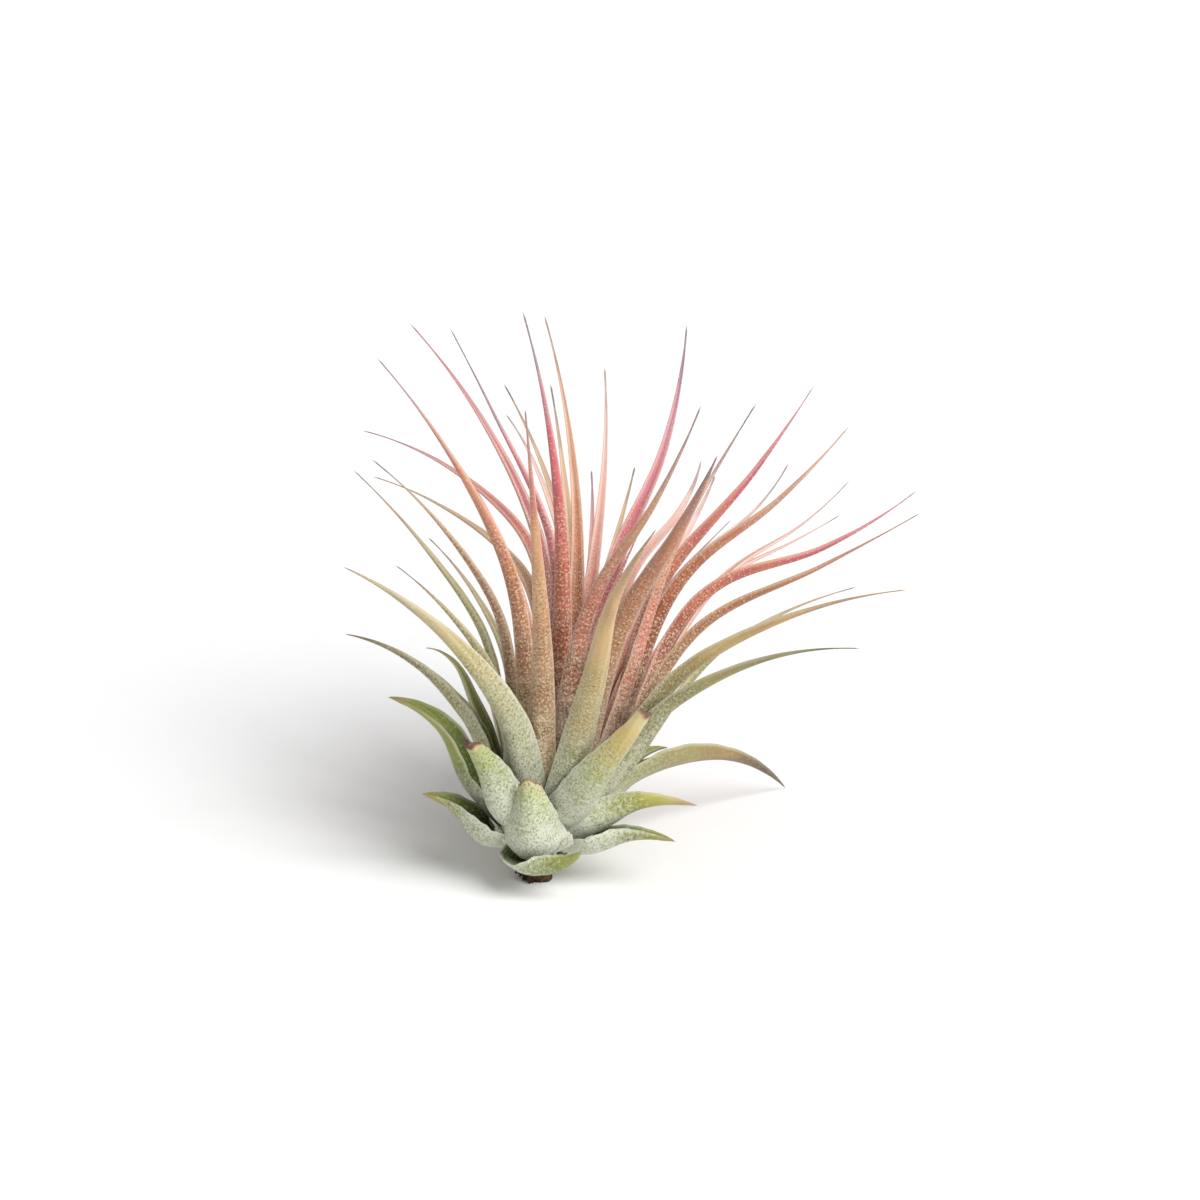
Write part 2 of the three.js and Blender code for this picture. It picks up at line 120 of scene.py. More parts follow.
def piece(name, points, faces, material, slot, nodes=(), uv=None, **attributes):
    """A smooth mesh from points in mm and faces, with one UV and one value of each attribute a point."""
    mesh = bpy.data.meshes.new(name)
    mesh.from_pydata((np.asarray(points) * MM).tolist(), [], faces)
    mesh.polygons.foreach_set("use_smooth", np.ones(len(mesh.polygons), bool))
    for key, values in attributes.items():
        layer = mesh.attributes.new(key, "FLOAT", "POINT")
        layer.data.foreach_set("value", np.asarray(values, np.float32).ravel())
    if uv is not None:
        corners = np.empty(len(mesh.loops), np.int32)
        mesh.loops.foreach_get("vertex_index", corners)
        layer = mesh.uv_layers.new(name="blade")
        layer.data.foreach_set("uv", np.asarray(uv, np.float32)[corners].ravel())
    mesh.materials.append(material)
    made = bpy.data.objects.new(name, mesh)
    bpy.context.scene.collection.objects.link(made)
    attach(made, "root")
    if nodes:
        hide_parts(*nodes)


def tube_faces(rings, around, tubes=1):
    """The faces of closed tubes. A tube's points are its rings, clockwise as seen from its end, and then
    the middles of its two ends. Quads join the rings, and triangles join each middle to its ring."""
    count = rings * around
    ring, here = np.meshgrid(np.arange(rings - 1) * around, np.arange(around), indexing="ij")
    ahead = (here + 1) % around
    quads = np.stack([ring + here, ring + around + here, ring + around + ahead, ring + ahead], -1)
    here, ahead, last = here[0], ahead[0], count - around
    foot = np.stack([here, ahead, np.full(around, count)], -1)
    end = np.stack([last + ahead, last + here, np.full(around, count + 1)], -1)
    shift = (count + 2) * np.arange(tubes)[:, None, None]
    quads = quads.reshape(-1, 4) + shift
    triangles = np.vstack([foot, end]) + shift
    return quads.reshape(-1, 4).tolist() + triangles.reshape(-1, 3).tolist()


STEM_FOOT_HEIGHT = 3
STEM_FOOT_RADIUS = 3.2
STUB_SIDES = 90
STUB_RINGS = 30
SPOT_RADIUS = 2
STUB_RADIUS, WIDEST = 3.2, 0.45
STUB_TOP_SHARE = 0.9
STUB_BULGE = (-1.2, 0, 0)
STUB_WAVES = (3, 5, 8, 13, 21)
WAVE_HEIGHT = 0.105
CRUMB = 0.06

# Dry cork: matt and dark brown, paler grey where its grain stands up and near-black where it sinks.
# The fibres are 1.1 mm apart and the cracks 0.9 mm, which is 900 and 1100 for each metre.
FIBRES_PER_METRE, CRACKS_PER_METRE = 900, 1100
CRACK_DEPTH = 0.3
cork, tree = new_material("dead_root_cork")
spot = add(tree, "TexCoord").outputs["Object"]
noise = {"Vector": spot, "Scale": FIBRES_PER_METRE, "Detail": 6, "Roughness": 0.7}
grain = add(tree, "TexNoise", noise).outputs["Fac"]
cracks = {"Vector": spot, "Scale": CRACKS_PER_METRE}
cracks = add(tree, "TexVoronoi", cracks, feature="DISTANCE_TO_EDGE").outputs[0]
tone = add(tree, "ValToRGB", {"Fac": grain}, stops=[(0.3, "#231812"), (0.5, "#4a3626"), (0.75, "#7a6653")])
relief = add(tree, "Math", {0: grain, 1: cracks}, operation="ADD").outputs[0]
bump = add(tree, "Bump", {"Height": relief, "Strength": 0.9, "Distance": CRACK_DEPTH * MM})
skin = add(tree, "BsdfPrincipled", {
    "Base Color": tone.outputs[0],
    "Roughness": 0.95,
    "Specular IOR Level": 0.2,
    "Normal": bump.outputs[0],
})
add(tree, "OutputMaterial", {"Surface": skin.outputs[0]})

# The stub's skin: rings r (1 + waves) about a bulging line, level on the ground and square to the axis
# at the stem, and widest at the share WIDEST of its height. The wave that goes round n times is h / n
# high.
chance = np.random.default_rng(7)
share = np.linspace(0, 1, STUB_RINGS)[:, None]
angle = -np.linspace(0, 2 * np.pi, STUB_SIDES, endpoint=False)[None, :] + 0 * share
share = share + 0 * angle
waves = sum(
    WAVE_HEIGHT / n * np.sin(n * angle + chance.uniform(0, 6.3) + chance.uniform(-4, 4) * share)
    for n in STUB_WAVES
)
radii = [SPOT_RADIUS, STUB_RADIUS, STUB_TOP_SHARE * STEM_FOOT_RADIUS]
radius = np.interp(share, [0, WIDEST, 1], radii) * (1 + waves)
radius += chance.normal(0, CRUMB, radius.shape) * smooth(share, 0, 0.1)
level = np.stack([np.cos(angle), np.sin(angle), 0 * angle], -1)
spokes = mix(level, outward(angle), smooth(share, 0, 0.9)[..., None])
bulge = np.sin(np.pi * share) ** 2
shell = share[..., None] * STEM_FOOT_HEIGHT * axis + bulge[..., None] * place(STUB_BULGE)
shell = shell + radius[..., None] * spokes
shell[..., 2] = np.maximum(shell[..., 2], 0)
points = np.vstack([shell.reshape(-1, 3), [[0, 0, 0], STEM_FOOT_HEIGHT * axis]])
piece("root_stub_cork", points, tube_faces(STUB_RINGS, STUB_SIDES), cork, "dead root", ["root_stub"])

# The broken root ends: thin tapered tubes p = a (1 - s)^2 + 2 b s (1 - s) + c s^2, which leave the stub
# from just inside its skin, on its front and left, and bend down to the ground. At STUB_LEVELS above it
# the stub has those shares of its bulge, and that radius inside its skin.
STUB_LEVELS = (0, 1.3, 3)
LEVEL_BULGES = (0.2, 1, 0.4)
LEVEL_RADII = (1.4, 2.4, 2.2)
ENDS = 16
END_SIDES = 8
END_RINGS = 9
END_AZIMUTH = (np.radians(130), np.radians(310))
END_HEIGHT = (0.5, 2.3)
END_RADIUS = (0.16, 0.45)
END_LENGTH = (0.5, 1.7)
BEFORE_BEND, AFTER_BEND = 0.55, 0.6
OUTWARD_AFTER_BEND = 0.3
END_TAPER = 0.5
END_DROOP = (0, 0, 0.8)
END_SCATTER = 0.35
END_CRUMB = 0.12
LOWEST_POINT = 0.02
angle = chance.uniform(*END_AZIMUTH, (ENDS, 1))
height = chance.uniform(*END_HEIGHT, (ENDS, 1))
thick = chance.uniform(*END_RADIUS, (ENDS, 1))
length = chance.uniform(*END_LENGTH, (ENDS, 1))
leaving = np.hstack([np.cos(angle), np.sin(angle), 0 * angle])
start = height * axis + np.interp(height, STUB_LEVELS, LEVEL_BULGES) * place(STUB_BULGE)
start = start + np.interp(height, STUB_LEVELS, LEVEL_RADII) * leaving
turning = start + BEFORE_BEND * length * leaving
scatter = chance.normal(0, END_SCATTER, (ENDS, 3))
stop = turning + AFTER_BEND * length * (OUTWARD_AFTER_BEND * leaving + scatter - END_DROOP)
s = np.linspace(0, 1, END_RINGS)[:, None]
line = start[:, None] * (1 - s) ** 2 + 2 * turning[:, None] * s * (1 - s) + stop[:, None] * s**2
ahead = unit(np.gradient(line, axis=1))
across = unit(np.cross(ahead, [0, 0, 1]))
over = np.cross(across, ahead)
turn = -np.linspace(0, 2 * np.pi, END_SIDES, endpoint=False)[:, None]
spokes = np.cos(turn) * across[:, :, None] + np.sin(turn) * over[:, :, None]
rough = 1 + chance.normal(0, END_CRUMB, (ENDS, END_RINGS, END_SIDES))
ring = thick[:, None] * (1 - END_TAPER * s**2) * rough
tubes = line[:, :, None] + ring[..., None] * spokes
points = np.concatenate([tubes.reshape(ENDS, -1, 3), line[:, [0, -1]]], 1)
points[..., 2] = np.maximum(points[..., 2], LOWEST_POINT)
piece("broken_root_ends", points.reshape(-1, 3), tube_faces(END_RINGS, END_SIDES, ENDS), cork, "dead root")


# The stem: short, woody and egg-shaped, ringed by the scars of shed leaves. It grew on the root stub,
# holds every leaf by its clasping sheath, and is hidden between them but for a little at its foot.

HEART_HEIGHT = 10
STEM_RADIUS = 5
STEM_TOP = HEART_HEIGHT + STEM_RADIUS
STEM_SIDES = 96
STEM_RINGS = 59
SCAR_SPACING = 0.7
SCAR_DEPTH = 0.12
SCAR_WAVER = 0.5


def stem_radius(height):
    """A smooth cone from the foot to the heart, and a dome sqrt(R^2 - (h - H)^2) over it."""
    dome = np.sqrt(np.maximum(STEM_RADIUS**2 - (height - HEART_HEIGHT) ** 2, 0))
    cone = mix(STEM_FOOT_RADIUS, STEM_RADIUS, smooth(height, STEM_FOOT_HEIGHT, HEART_HEIGHT))
    return np.where(height > HEART_HEIGHT, dome, cone)


# Woody stem skin: tan-grey and matt, with fibres that run round it, 3.3 mm long and 0.6 mm apart, which
# is 300 and 1600 for each metre.
STEM_FIBRES = (300, 300, 1600)
FIBRE_DEPTH = 0.2
wood, tree = new_material("woody_stem_skin")
spot = add(tree, "TexCoord").outputs["Object"]
fibre = add(tree, "Mapping", {"Vector": spot, "Scale": STEM_FIBRES}).outputs[0]
grain = add(tree, "TexNoise", {"Vector": fibre, "Scale": 1, "Detail": 5}).outputs["Fac"]
tone = add(tree, "ValToRGB", {"Fac": grain}, stops=[(0.3, "#5c4a33"), (0.7, "#a39878")])
bump = add(tree, "Bump", {"Height": grain, "Strength": 0.6, "Distance": FIBRE_DEPTH * MM})
finish = {"Base Color": tone.outputs[0], "Roughness": 0.85, "Normal": bump.outputs[0]}
skin = add(tree, "BsdfPrincipled", finish)
add(tree, "OutputMaterial", {"Surface": skin.outputs[0]})

# The stem's skin: rings of radius r - d |sin|, whose waves are the scars, about the axis. They are
# closer together towards the top, and the scars end below it.
turn = np.sin(np.linspace(0, np.pi / 2, STEM_RINGS + 1))[:-1, None]
height = mix(STEM_FOOT_HEIGHT, STEM_TOP, turn)
angle = -np.linspace(0, 2 * np.pi, STEM_SIDES, endpoint=False)[None, :] + 0 * height
scars = SCAR_DEPTH * np.abs(np.sin(np.pi * (height + SCAR_WAVER * np.sin(2 * angle)) / SCAR_SPACING))
radius = stem_radius(height) - scars * smooth(STEM_TOP - height, 0, 2)
shell = height[..., None] * axis + radius[..., None] * outward(angle)
points = np.vstack([shell.reshape(-1, 3), [STEM_FOOT_HEIGHT * axis, STEM_TOP * axis]])
piece("stem_skin", points, tube_faces(STEM_RINGS, STEM_SIDES), wood, "stem", ["stem"])


# The heart leaves: the youngest seven, which stand up in the middle. Each is a thin channelled blade,
# flushed rose, mauve or amber above a scaly base that clasps the stem, and dries to a fine dark point.

# How many leaves there are, and how many rings and points across a blade has. A blade with a point
# has its last ring at the share LAST_RING of its length, and closes at its tip.
LEAVES = 58
RINGS = 100
ACROSS = 17
LAST_RING = 0.985

# Where on the stem the youngest and the oldest leaf start, and how steeply.
YOUNGEST_ROOT, OLDEST_ROOT = 13, 3.5
YOUNGEST_RISE, OLDEST_RISE = np.radians(85), np.radians(5)
ROOT_SINK = 0.8

# What goes by a leaf's width: the power that its width falls by, the width near its point, how sharply
# its channel is folded, and its thickness. Each is the widths of a narrow and a broad leaf, and then
# their two values.
TAPER = (7, 12, 1.6, 1.9)
AWL = (7, 12, 0.55, 1.6)
KEEL = (6, 11, 0.15, 0.55)
THICKNESS = (4, 9, 0.9, 1.25)

POINT_WIDTH = 0.22
EDGE_THICKNESS = 0.16
ROUNDEST = 1.3
ROOT_WIDTH_SHARE = 0.5
ROOT_THICKNESS_SHARE, END_THICKNESS_SHARE = 0.55, 0.5
WIDEST_WRAP = 1.6
LOW_BEND, HIGH_BEND = 0.85, 1.2

# From where to where along a leaf, as shares of its length, it widens, thickens, thins, opens from a
# sheath to a channel, deepens, turns to the front and twists. A leaf with a cut widens and thins
# elsewhere too, and its end turns ragged.
WIDENS, CUT_WIDENS = (0, 0.1), (0, 0.2)
THICKENS = (0.05, 0.3)
THINS, CUT_THINS = (0.4, 1), (0.85, 1)
SHEATH_OPENS = (0.08, 0.3)
DEEPENS = (0.2, 0.6)
TURNS = (0.1, 0.5)
TWISTED = (0.3, 0.7)
RAGGED_FROM = (0.8, 1)

# The waves of a blade's width, its twist and its margins: how high they are, and how many radians of
# wave there are along it.
SWELL, SWELLS = 0.03, 9
TWIST, TWISTS = 0.15, 5
RIPPLE, RIPPLES = 0.03, 60

# How far the edge of a cut end strays, at random and in waves across it.
RAGGED = 0.12
JAG, JAGS = 0.3, 4

front = place((0, 0, 1))


def dot(a, b):
    """Sum of a times b over the last axis, which is kept."""
    return np.sum(a * b, axis=-1, keepdims=True)


def midline(leaf, age, t):
    """Points and directions of a leaf's middle line: cubic Bezier stretches from the stem through its
    low place and its middle to its tip, whose directions there are d = s1 l2 / l1 + s2 l1 / l2 of the
    steps s, l long, on either side. A low place with no depth has a share of its middle's."""
    heart = np.array(AXIS[:2]) * HEART_HEIGHT
    low, middle = list(leaf["low"]), leaf["middle"]
    if len(low) == 2:
        low.append(middle[2] * np.hypot(*(low - heart)) / np.hypot(*(middle[:2] - heart)))
    low = place(low)
    away = unit(low - dot(low, axis) * axis)
    height = mix(YOUNGEST_ROOT, OLDEST_ROOT, age)
    root = height * axis + (stem_radius(height) - ROOT_SINK) * away
    rise = mix(YOUNGEST_RISE, OLDEST_RISE, age)
    knots = np.array([root, low, place(middle), place(leaf["tip"])])
    steps = np.diff(knots, axis=0)
    lengths = np.linalg.norm(steps, axis=1)[:, None]
    bends = unit(steps[:-1] * lengths[1:] / lengths[:-1] + steps[1:] * lengths[:-1] / lengths[1:])
    leaving = np.array([np.sin(rise) * axis + np.cos(rise) * away, *bends])
    turning = knots[2] + bends[1] * lengths[2] / 2
    first = np.vstack([knots[:2] + leaving[:2] * lengths[:2] / 3, mix(knots[2], turning, 2 / 3)])
    second = np.vstack([knots[1:3] - bends * lengths[:2] / 3, mix(knots[3], turning, 2 / 3)])
    joints = np.concatenate([[0], np.cumsum(lengths) / lengths.sum()])
    i = np.clip(np.searchsorted(joints, t, side="right") - 1, 0, 2)
    s = ((t - joints[i]) / (joints[i + 1] - joints[i]))[:, None]
    a, b, c, d = knots[i], first[i], second[i], knots[i + 1]
    points = a * (1 - s) ** 3 + 3 * b * s * (1 - s) ** 2 + 3 * c * s * s * (1 - s) + d * s**3
    slopes = (b - a) * (1 - s) ** 2 + 2 * (c - b) * s * (1 - s) + (d - c) * s * s
    return points, unit(slopes)


def by_width(leaf, narrow, broad, low, high):
    """low for a narrow leaf and high for a broad one, with 3 s^2 - 2 s^3 of the way between them."""
    return mix(low, high, smooth(leaf["width"], narrow, broad))


def blade_width(leaf, t):
    """w (1 - t)^p + a t sqrt(1 - t), where w grows from a share of itself at the root. A leaf with a cut
    instead goes evenly from w, a quarter of the way along, to that share of w at its end."""
    if "cut" in leaf:
        taper = mix(1, leaf["cut"], np.clip(t / 0.75 - 1 / 3, 0, 1))
        return leaf["width"] * mix(ROOT_WIDTH_SHARE, 1, smooth(t, *CUT_WIDENS)) * taper
    power = leaf.get("taper", by_width(leaf, *TAPER))
    width = leaf["width"] * mix(ROOT_WIDTH_SHARE, 1, smooth(t, *WIDENS)) * (1 - t) ** power
    return width + by_width(leaf, *AWL) * t * np.sqrt(1 - t)


def blade_thickness(leaf, t, v, half):
    """h (1 - v^2)^0.6, and no thinner than a margin. h shrinks towards the root, the tip and a cut."""
    height = by_width(leaf, *THICKNESS) * mix(ROOT_THICKNESS_SHARE, 1, smooth(t, *THICKENS))
    height = height * mix(1, END_THICKNESS_SHARE, smooth(t, *THINS))
    if "cut" in leaf:
        height = height * mix(1, END_THICKNESS_SHARE, smooth(t, *CUT_THINS))
    else:
        height = np.minimum(height, ROUNDEST * half)
    return np.maximum(height * (1 - v**2) ** 0.6, np.minimum(EDGE_THICKNESS, half))


def from_middle(values, v):
    """The integral of the values over v, by trapezia, counted from the middle of the blade."""
    total = np.cumsum((values[:, 1:] + values[:, :-1]) * np.diff(v) / 2, 1)
    total = np.hstack([0 * total[:, :1], total])
    return total - total[:, [ACROSS // 2]]


def both_faces(inner, outer):
    """Rings from values across the inner face, from -1 to 1, and back across the outer face."""
    return np.concatenate([inner, outer[:, ::-1]], 1)


def blade(leaf, age, chance):
    """Points, UV in mm and attributes of a blade, with t from root to tip and v from -1 to 1 across it.
    Its middle surface bends round the plant's axis in the sheath, and is further out a channel: side
    x(v) + inside y(v), the integrals of cos and sin of the channel's slope b ((1 - k) v + k tanh 5 v).
    Both are turned about the middle line where the leaf is open to the front. A cut end is ragged."""
    t = np.linspace(0, 1 if "cut" in leaf else LAST_RING, RINGS)
    v = np.sin(np.linspace(-np.pi / 2, np.pi / 2, ACROSS))
    points, tangents = midline(leaf, age, t)
    t = t[:, None]
    phases = chance.uniform(0, 2 * np.pi, 6)
    width = blade_width(leaf, t) * (1 + SWELL * np.sin(SWELLS * t + phases[0]))
    half = np.maximum(width, POINT_WIDTH) / 2

    radial = points - dot(points, axis) * axis
    radius = np.linalg.norm(radial, axis=1, keepdims=True)
    azimuth = np.arctan2(radial @ backward, radial @ rightward)[:, None]
    turn = np.minimum(half / radius, WIDEST_WRAP)
    sheath = (outward(azimuth + v * turn) - outward(azimuth)) * radius[..., None]

    away = midline(leaf, age, np.array([0.5]))[0][0]
    around = np.cross(axis, away - dot(away, axis) * axis)
    side = unit(around - dot(tangents, around) * tangents)
    inside = np.cross(tangents, side)
    sense = np.sign(dot(np.cross(front, inside), tangents))
    roll = sense * np.radians(leaf.get("open", 0)) * smooth(t, *TURNS)
    roll = roll + TWIST * np.sin(TWISTS * t + phases[1]) * smooth(t, *TWISTED)
    across = side * np.cos(roll) - inside * np.sin(roll)
    inward = inside * np.cos(roll) + side * np.sin(roll)

    keel = by_width(leaf, *KEEL)
    slope = mix(LOW_BEND, HIGH_BEND, smooth(t, *DEEPENS)) * ((1 - keel) * v + keel * np.tanh(5 * v))
    run, lift = from_middle(np.cos(slope), v), from_middle(np.sin(slope), v)
    scale = 2 * half / (run[:, -1:] - run[:, :1])
    run, lift = run * scale, lift * scale + RIPPLE * half * v**2 * np.sin(RIPPLES * t + phases[2] + v)
    channel = across[:, None] * run[..., None] + inward[:, None] * lift[..., None]
    surface = points[:, None] + mix(sheath, channel, smooth(t, *SHEATH_OPENS)[..., None])
    if "cut" in leaf:
        ragged = chance.normal(0, RAGGED, ACROSS) + JAG * np.sin(JAGS * v + phases[3])
        ragged = ragged + leaf.get("slant", 0) * v
        surface += tangents[:, None] * (ragged * smooth(t, *RAGGED_FROM))[..., None]

    normal = unit(np.cross(np.gradient(surface, axis=0), np.gradient(surface, axis=1)))
    step = normal * blade_thickness(leaf, t, v, half)[..., None] / 2
    length = np.concatenate([[0], np.cumsum(np.linalg.norm(np.diff(points, axis=0), axis=1))])[:, None]
    dead = np.clip(1 - (length[-1] - length) / leaf["dead"], 0, 1) if "dead" in leaf else 0
    grid = 0 * t * v
    values = {
        "along": t + grid,
        "edge": (1 - np.abs(v)) * half,
        "dead": dead + grid,
        "shade": leaf.get("shade", chance.uniform(-1, 1)) + grid,
    }
    values = {key: both_faces(value, value) for key, value in values.items()}
    values["inner"] = both_faces(1 + grid, grid)
    uv = np.stack([v * half, length + grid], -1)
    return both_faces(surface + step, surface - step), both_faces(uv, uv), values


grown = []
luck = np.random.default_rng(58)


def grow(rows):
    """Makes a blade for each row, from the youngest leaf to the oldest, and closes its root and tip. A row
    gives a leaf's name, its low place, middle and tip in the leaning frame, its width, slot and skin.
    Some add open, how many degrees it is turned to face the front, taper, the power in its width, and
    shade, from darker to lighter. A leaf that rotted off adds cut, the share of its width at its end,
    dead, the length that is brown, and slant, the slope of the end."""
    for name, low, middle, tip, width, slot, skin, *extra in rows:
        leaf = {"low": low, "middle": middle, "tip": tip, "width": width, **dict(*extra)}
        rings, uv, values = blade(leaf, len(grown) / (LEAVES - 1), luck)
        end = rings[-1].mean(0) if "cut" in leaf else place(tip)
        points = np.vstack([rings.reshape(-1, 3), [rings[0].mean(0), end]])
        uv = np.vstack([uv.reshape(-1, 2), [uv[0].mean(0), uv[-1].mean(0)]])
        for key, value in values.items():
            values[key] = np.append(value, [value[0].mean(), value[-1].mean()])
        piece(name + "_blade", points, tube_faces(RINGS, 2 * ACROSS), skin, slot, [name], uv, **values)
        grown.append(name)


# The patterns of a leaf's skin, as how many go in a mm across it and along it. Veins are 0.4 mm apart,
# scales and felt 0.3 mm and flecks 0.24 mm wide, coarser than the real 0.1 mm so that they show, and
# blotches of tone are 7 mm wide and patches of scurf 5 mm.
VEINS = (2.4, 0.08, 1)
SCALES = (3.3, 2.3, 1)
FELT = (3, 1.6, 1)
FLECKS, FLECKS_START = (4.2, 2.2, 1), (9, 4, 0)
BLOTCHES = 0.14
PATCHES = 0.2
RELIEF_DEPTH = 0.15

# What a step of shade does: it moves the tone along the blade, and makes it lighter. On a few leaves the
# listed step paints light onto leaves that lie in shadow, and paints shade onto ones in the full light.
SHADE_SHIFT, SHADE_LIGHT = 0.03, 0.07

# The scurf is even as far as SHEATH_LENGTH, and thicker over MARGIN_WIDTH along each edge, where it also
# paints a highlight. The pale rim is RIM_WIDTH wide and palest within RIM_LINE of the edge, partly a pale
# margin and partly a painted highlight.
SHEATH_LENGTH = 8
MARGIN_WIDTH = 1.4
RIM_WIDTH, RIM_LINE = 0.42, 0.06


def leaf_skin(name, outside, inside, cover, scurf):
    """The skin of a leaf, waxy, semi-matt and a little see-through. Its tone runs from root to tip, by
    one ramp outside and another inside, over fine lengthwise veins. Scurf, a frost of silvery scales,
    whitens it by s + d g + (1.2 - 0.8 d) n. The share s goes from the first number of cover, in the
    sheath, to the second, which it reaches as far up the leaf as the third, in mm. Inside, it is that
    times the fourth. It changes in patches and grows at the margins, where it also paints a highlight.
    d is the fifth number, g the glint of each scale, and n a felt of fibres. Dark bare flecks lie in the
    scurf, a pale rim follows the edge, partly a pale margin and partly a painted highlight, and a rotted
    end is dry and brown."""
    low_cover, high_cover, reach, inner_cover, dots = cover
    material, tree = new_material(name)
    along, edge, dead, inner, shade = (
        add(tree, "Attribute", attribute_name=key).outputs["Fac"]
        for key in ("along", "edge", "dead", "inner", "shade")
    )
    spot = add(tree, "UVMap", uv_map="blade").outputs[0]

    # The tone from root to tip, in soft blotches.
    blotches = add(tree, "TexNoise", {"Vector": spot, "Scale": BLOTCHES, "Detail": 3}).outputs["Fac"]
    shift = add(tree, "MapRange", {0: blotches, 1: 0.3, 2: 0.7, 3: -0.07, 4: 0.07}).outputs[0]
    shift = add(tree, "Math", {0: shade, 1: SHADE_SHIFT, 2: shift}, operation="MULTIPLY_ADD").outputs[0]
    where = add(tree, "Math", {0: along, 1: shift}, operation="ADD").outputs[0]
    outer_tone = add(tree, "ValToRGB", {"Fac": where}, stops=outside).outputs[0]
    inner_tone = add(tree, "ValToRGB", {"Fac": where}, stops=inside).outputs[0]
    tone = add(tree, "Mix", {0: inner, 6: outer_tone, 7: inner_tone}, data_type="RGBA").outputs[2]

    # The veins, a fifth lighter or darker.
    stretched = add(tree, "Mapping", {"Vector": spot, "Scale": VEINS}).outputs[0]
    veins = add(tree, "TexNoise", {"Vector": stretched, "Scale": 1, "Detail": 3}).outputs["Fac"]
    light = add(tree, "MapRange", {0: veins, 1: 0.25, 2: 0.75, 3: 0.8, 4: 1.2}).outputs[0]
    light = add(tree, "Math", {0: shade, 1: SHADE_LIGHT, 2: light}, operation="MULTIPLY_ADD").outputs[0]
    tone = add(tree, "VectorMath", {0: tone, "Scale": light}, operation="SCALE").outputs[0]

    # The scurf: round scales of uneven brightness, the felt between them, and how much they cover.
    cells = add(tree, "Mapping", {"Vector": spot, "Scale": SCALES}).outputs[0]
    scales = add(tree, "TexVoronoi", {"Vector": cells, "Scale": 1}, voronoi_dimensions="2D")
    glint = add(tree, "SeparateColor", {0: scales.outputs["Color"]}).outputs[0]
    glint = add(tree, "MapRange", {0: glint, 1: 0.05, 2: 0.8}).outputs[0]
    disc = add(tree, "MapRange", {0: scales.outputs["Distance"], 1: 0.62, 2: 0.15}).outputs[0]
    glint = add(tree, "Math", {0: disc, 1: glint}, operation="MULTIPLY").outputs[0]
    stretched = add(tree, "Mapping", {"Vector": spot, "Scale": FELT}).outputs[0]
    noise = {"Vector": stretched, "Scale": 1, "Detail": 4, "Roughness": 0.7}
    fibres = add(tree, "TexNoise", noise).outputs["Fac"]
    felt = add(tree, "MapRange", {0: fibres, 1: 0.34, 2: 0.66}).outputs[0]
    length = add(tree, "SeparateXYZ", {0: spot}).outputs[1]
    fall = {0: length, 1: SHEATH_LENGTH, 2: reach, 3: low_cover, 4: high_cover}
    share = add(tree, "MapRange", fall).outputs[0]
    within = add(tree, "MapRange", {0: inner, 3: 1, 4: inner_cover}).outputs[0]
    share = add(tree, "Math", {0: share, 1: within}, operation="MULTIPLY").outputs[0]
    noise = {"Vector": spot, "Scale": PATCHES, "Detail": 4, "Roughness": 0.6}
    patches = add(tree, "TexNoise", noise).outputs["Fac"]
    patches = add(tree, "MapRange", {0: patches, 1: 0.35, 2: 0.65, 3: -0.4, 4: 0.35}).outputs[0]
    # Thicker scurf along each edge, which also paints a highlight there.
    edge_scurf_and_highlight = add(tree, "MapRange", {0: edge, 1: MARGIN_WIDTH, 2: 0, 4: 0.5}).outputs[0]
    more = add(tree, "Math", {0: patches, 1: edge_scurf_and_highlight}, operation="ADD").outputs[0]
    more = add(tree, "Math", {0: more, 1: share}, operation="MULTIPLY").outputs[0]
    share = add(tree, "Math", {0: share, 1: more}, operation="ADD").outputs[0]
    white = add(tree, "Math", {0: glint, 1: dots, 2: share}, operation="MULTIPLY_ADD").outputs[0]
    white = add(tree, "Math", {0: felt, 1: 1.2 - 0.8 * dots, 2: white}, operation="MULTIPLY_ADD").outputs[0]
    white = add(tree, "MapRange", {0: white, 1: 0.6, 2: 1.6, 4: 0.9}).outputs[0]
    tone = add(tree, "Mix", {0: white, 6: tone, 7: colour(scurf)}, data_type="RGBA").outputs[2]

    # The bare flecks, half as light as the scurf round them.
    moved = {"Vector": spot, "Scale": FLECKS, "Location": FLECKS_START}
    moved = add(tree, "Mapping", moved).outputs[0]
    noise = {"Vector": moved, "Scale": 1, "Detail": 2, "Roughness": 0.6}
    flecks = add(tree, "TexNoise", noise).outputs["Fac"]
    dark = add(tree, "MapRange", {0: flecks, 1: 0.52, 2: 0.64, 3: 1, 4: 0.52}).outputs[0]
    bare = add(tree, "MapRange", {0: share, 1: 0, 2: 0.4, 3: 1, 4: 0}).outputs[0]
    dark = add(tree, "Math", {0: dark, 1: bare}, operation="MAXIMUM").outputs[0]
    tone = add(tree, "VectorMath", {0: tone, "Scale": dark}, operation="SCALE").outputs[0]

    # The pale rim, partly a pale margin and partly a painted highlight, which ends before the tip.
    nearness = {0: edge, 1: RIM_WIDTH, 2: RIM_LINE, 4: 0.5}
    pale_rim_and_highlight = add(tree, "MapRange", nearness, interpolation_type="SMOOTHSTEP").outputs[0]
    below = add(tree, "MapRange", {0: along, 1: 0.7, 2: 0.92, 3: 1, 4: 0}).outputs[0]
    pale_rim_and_highlight = add(tree, "Math", {0: pale_rim_and_highlight, 1: below}, operation="MULTIPLY").outputs[0]
    tone = add(tree, "Mix", {0: pale_rim_and_highlight, 6: tone, 7: colour(scurf)}, data_type="RGBA").outputs[2]

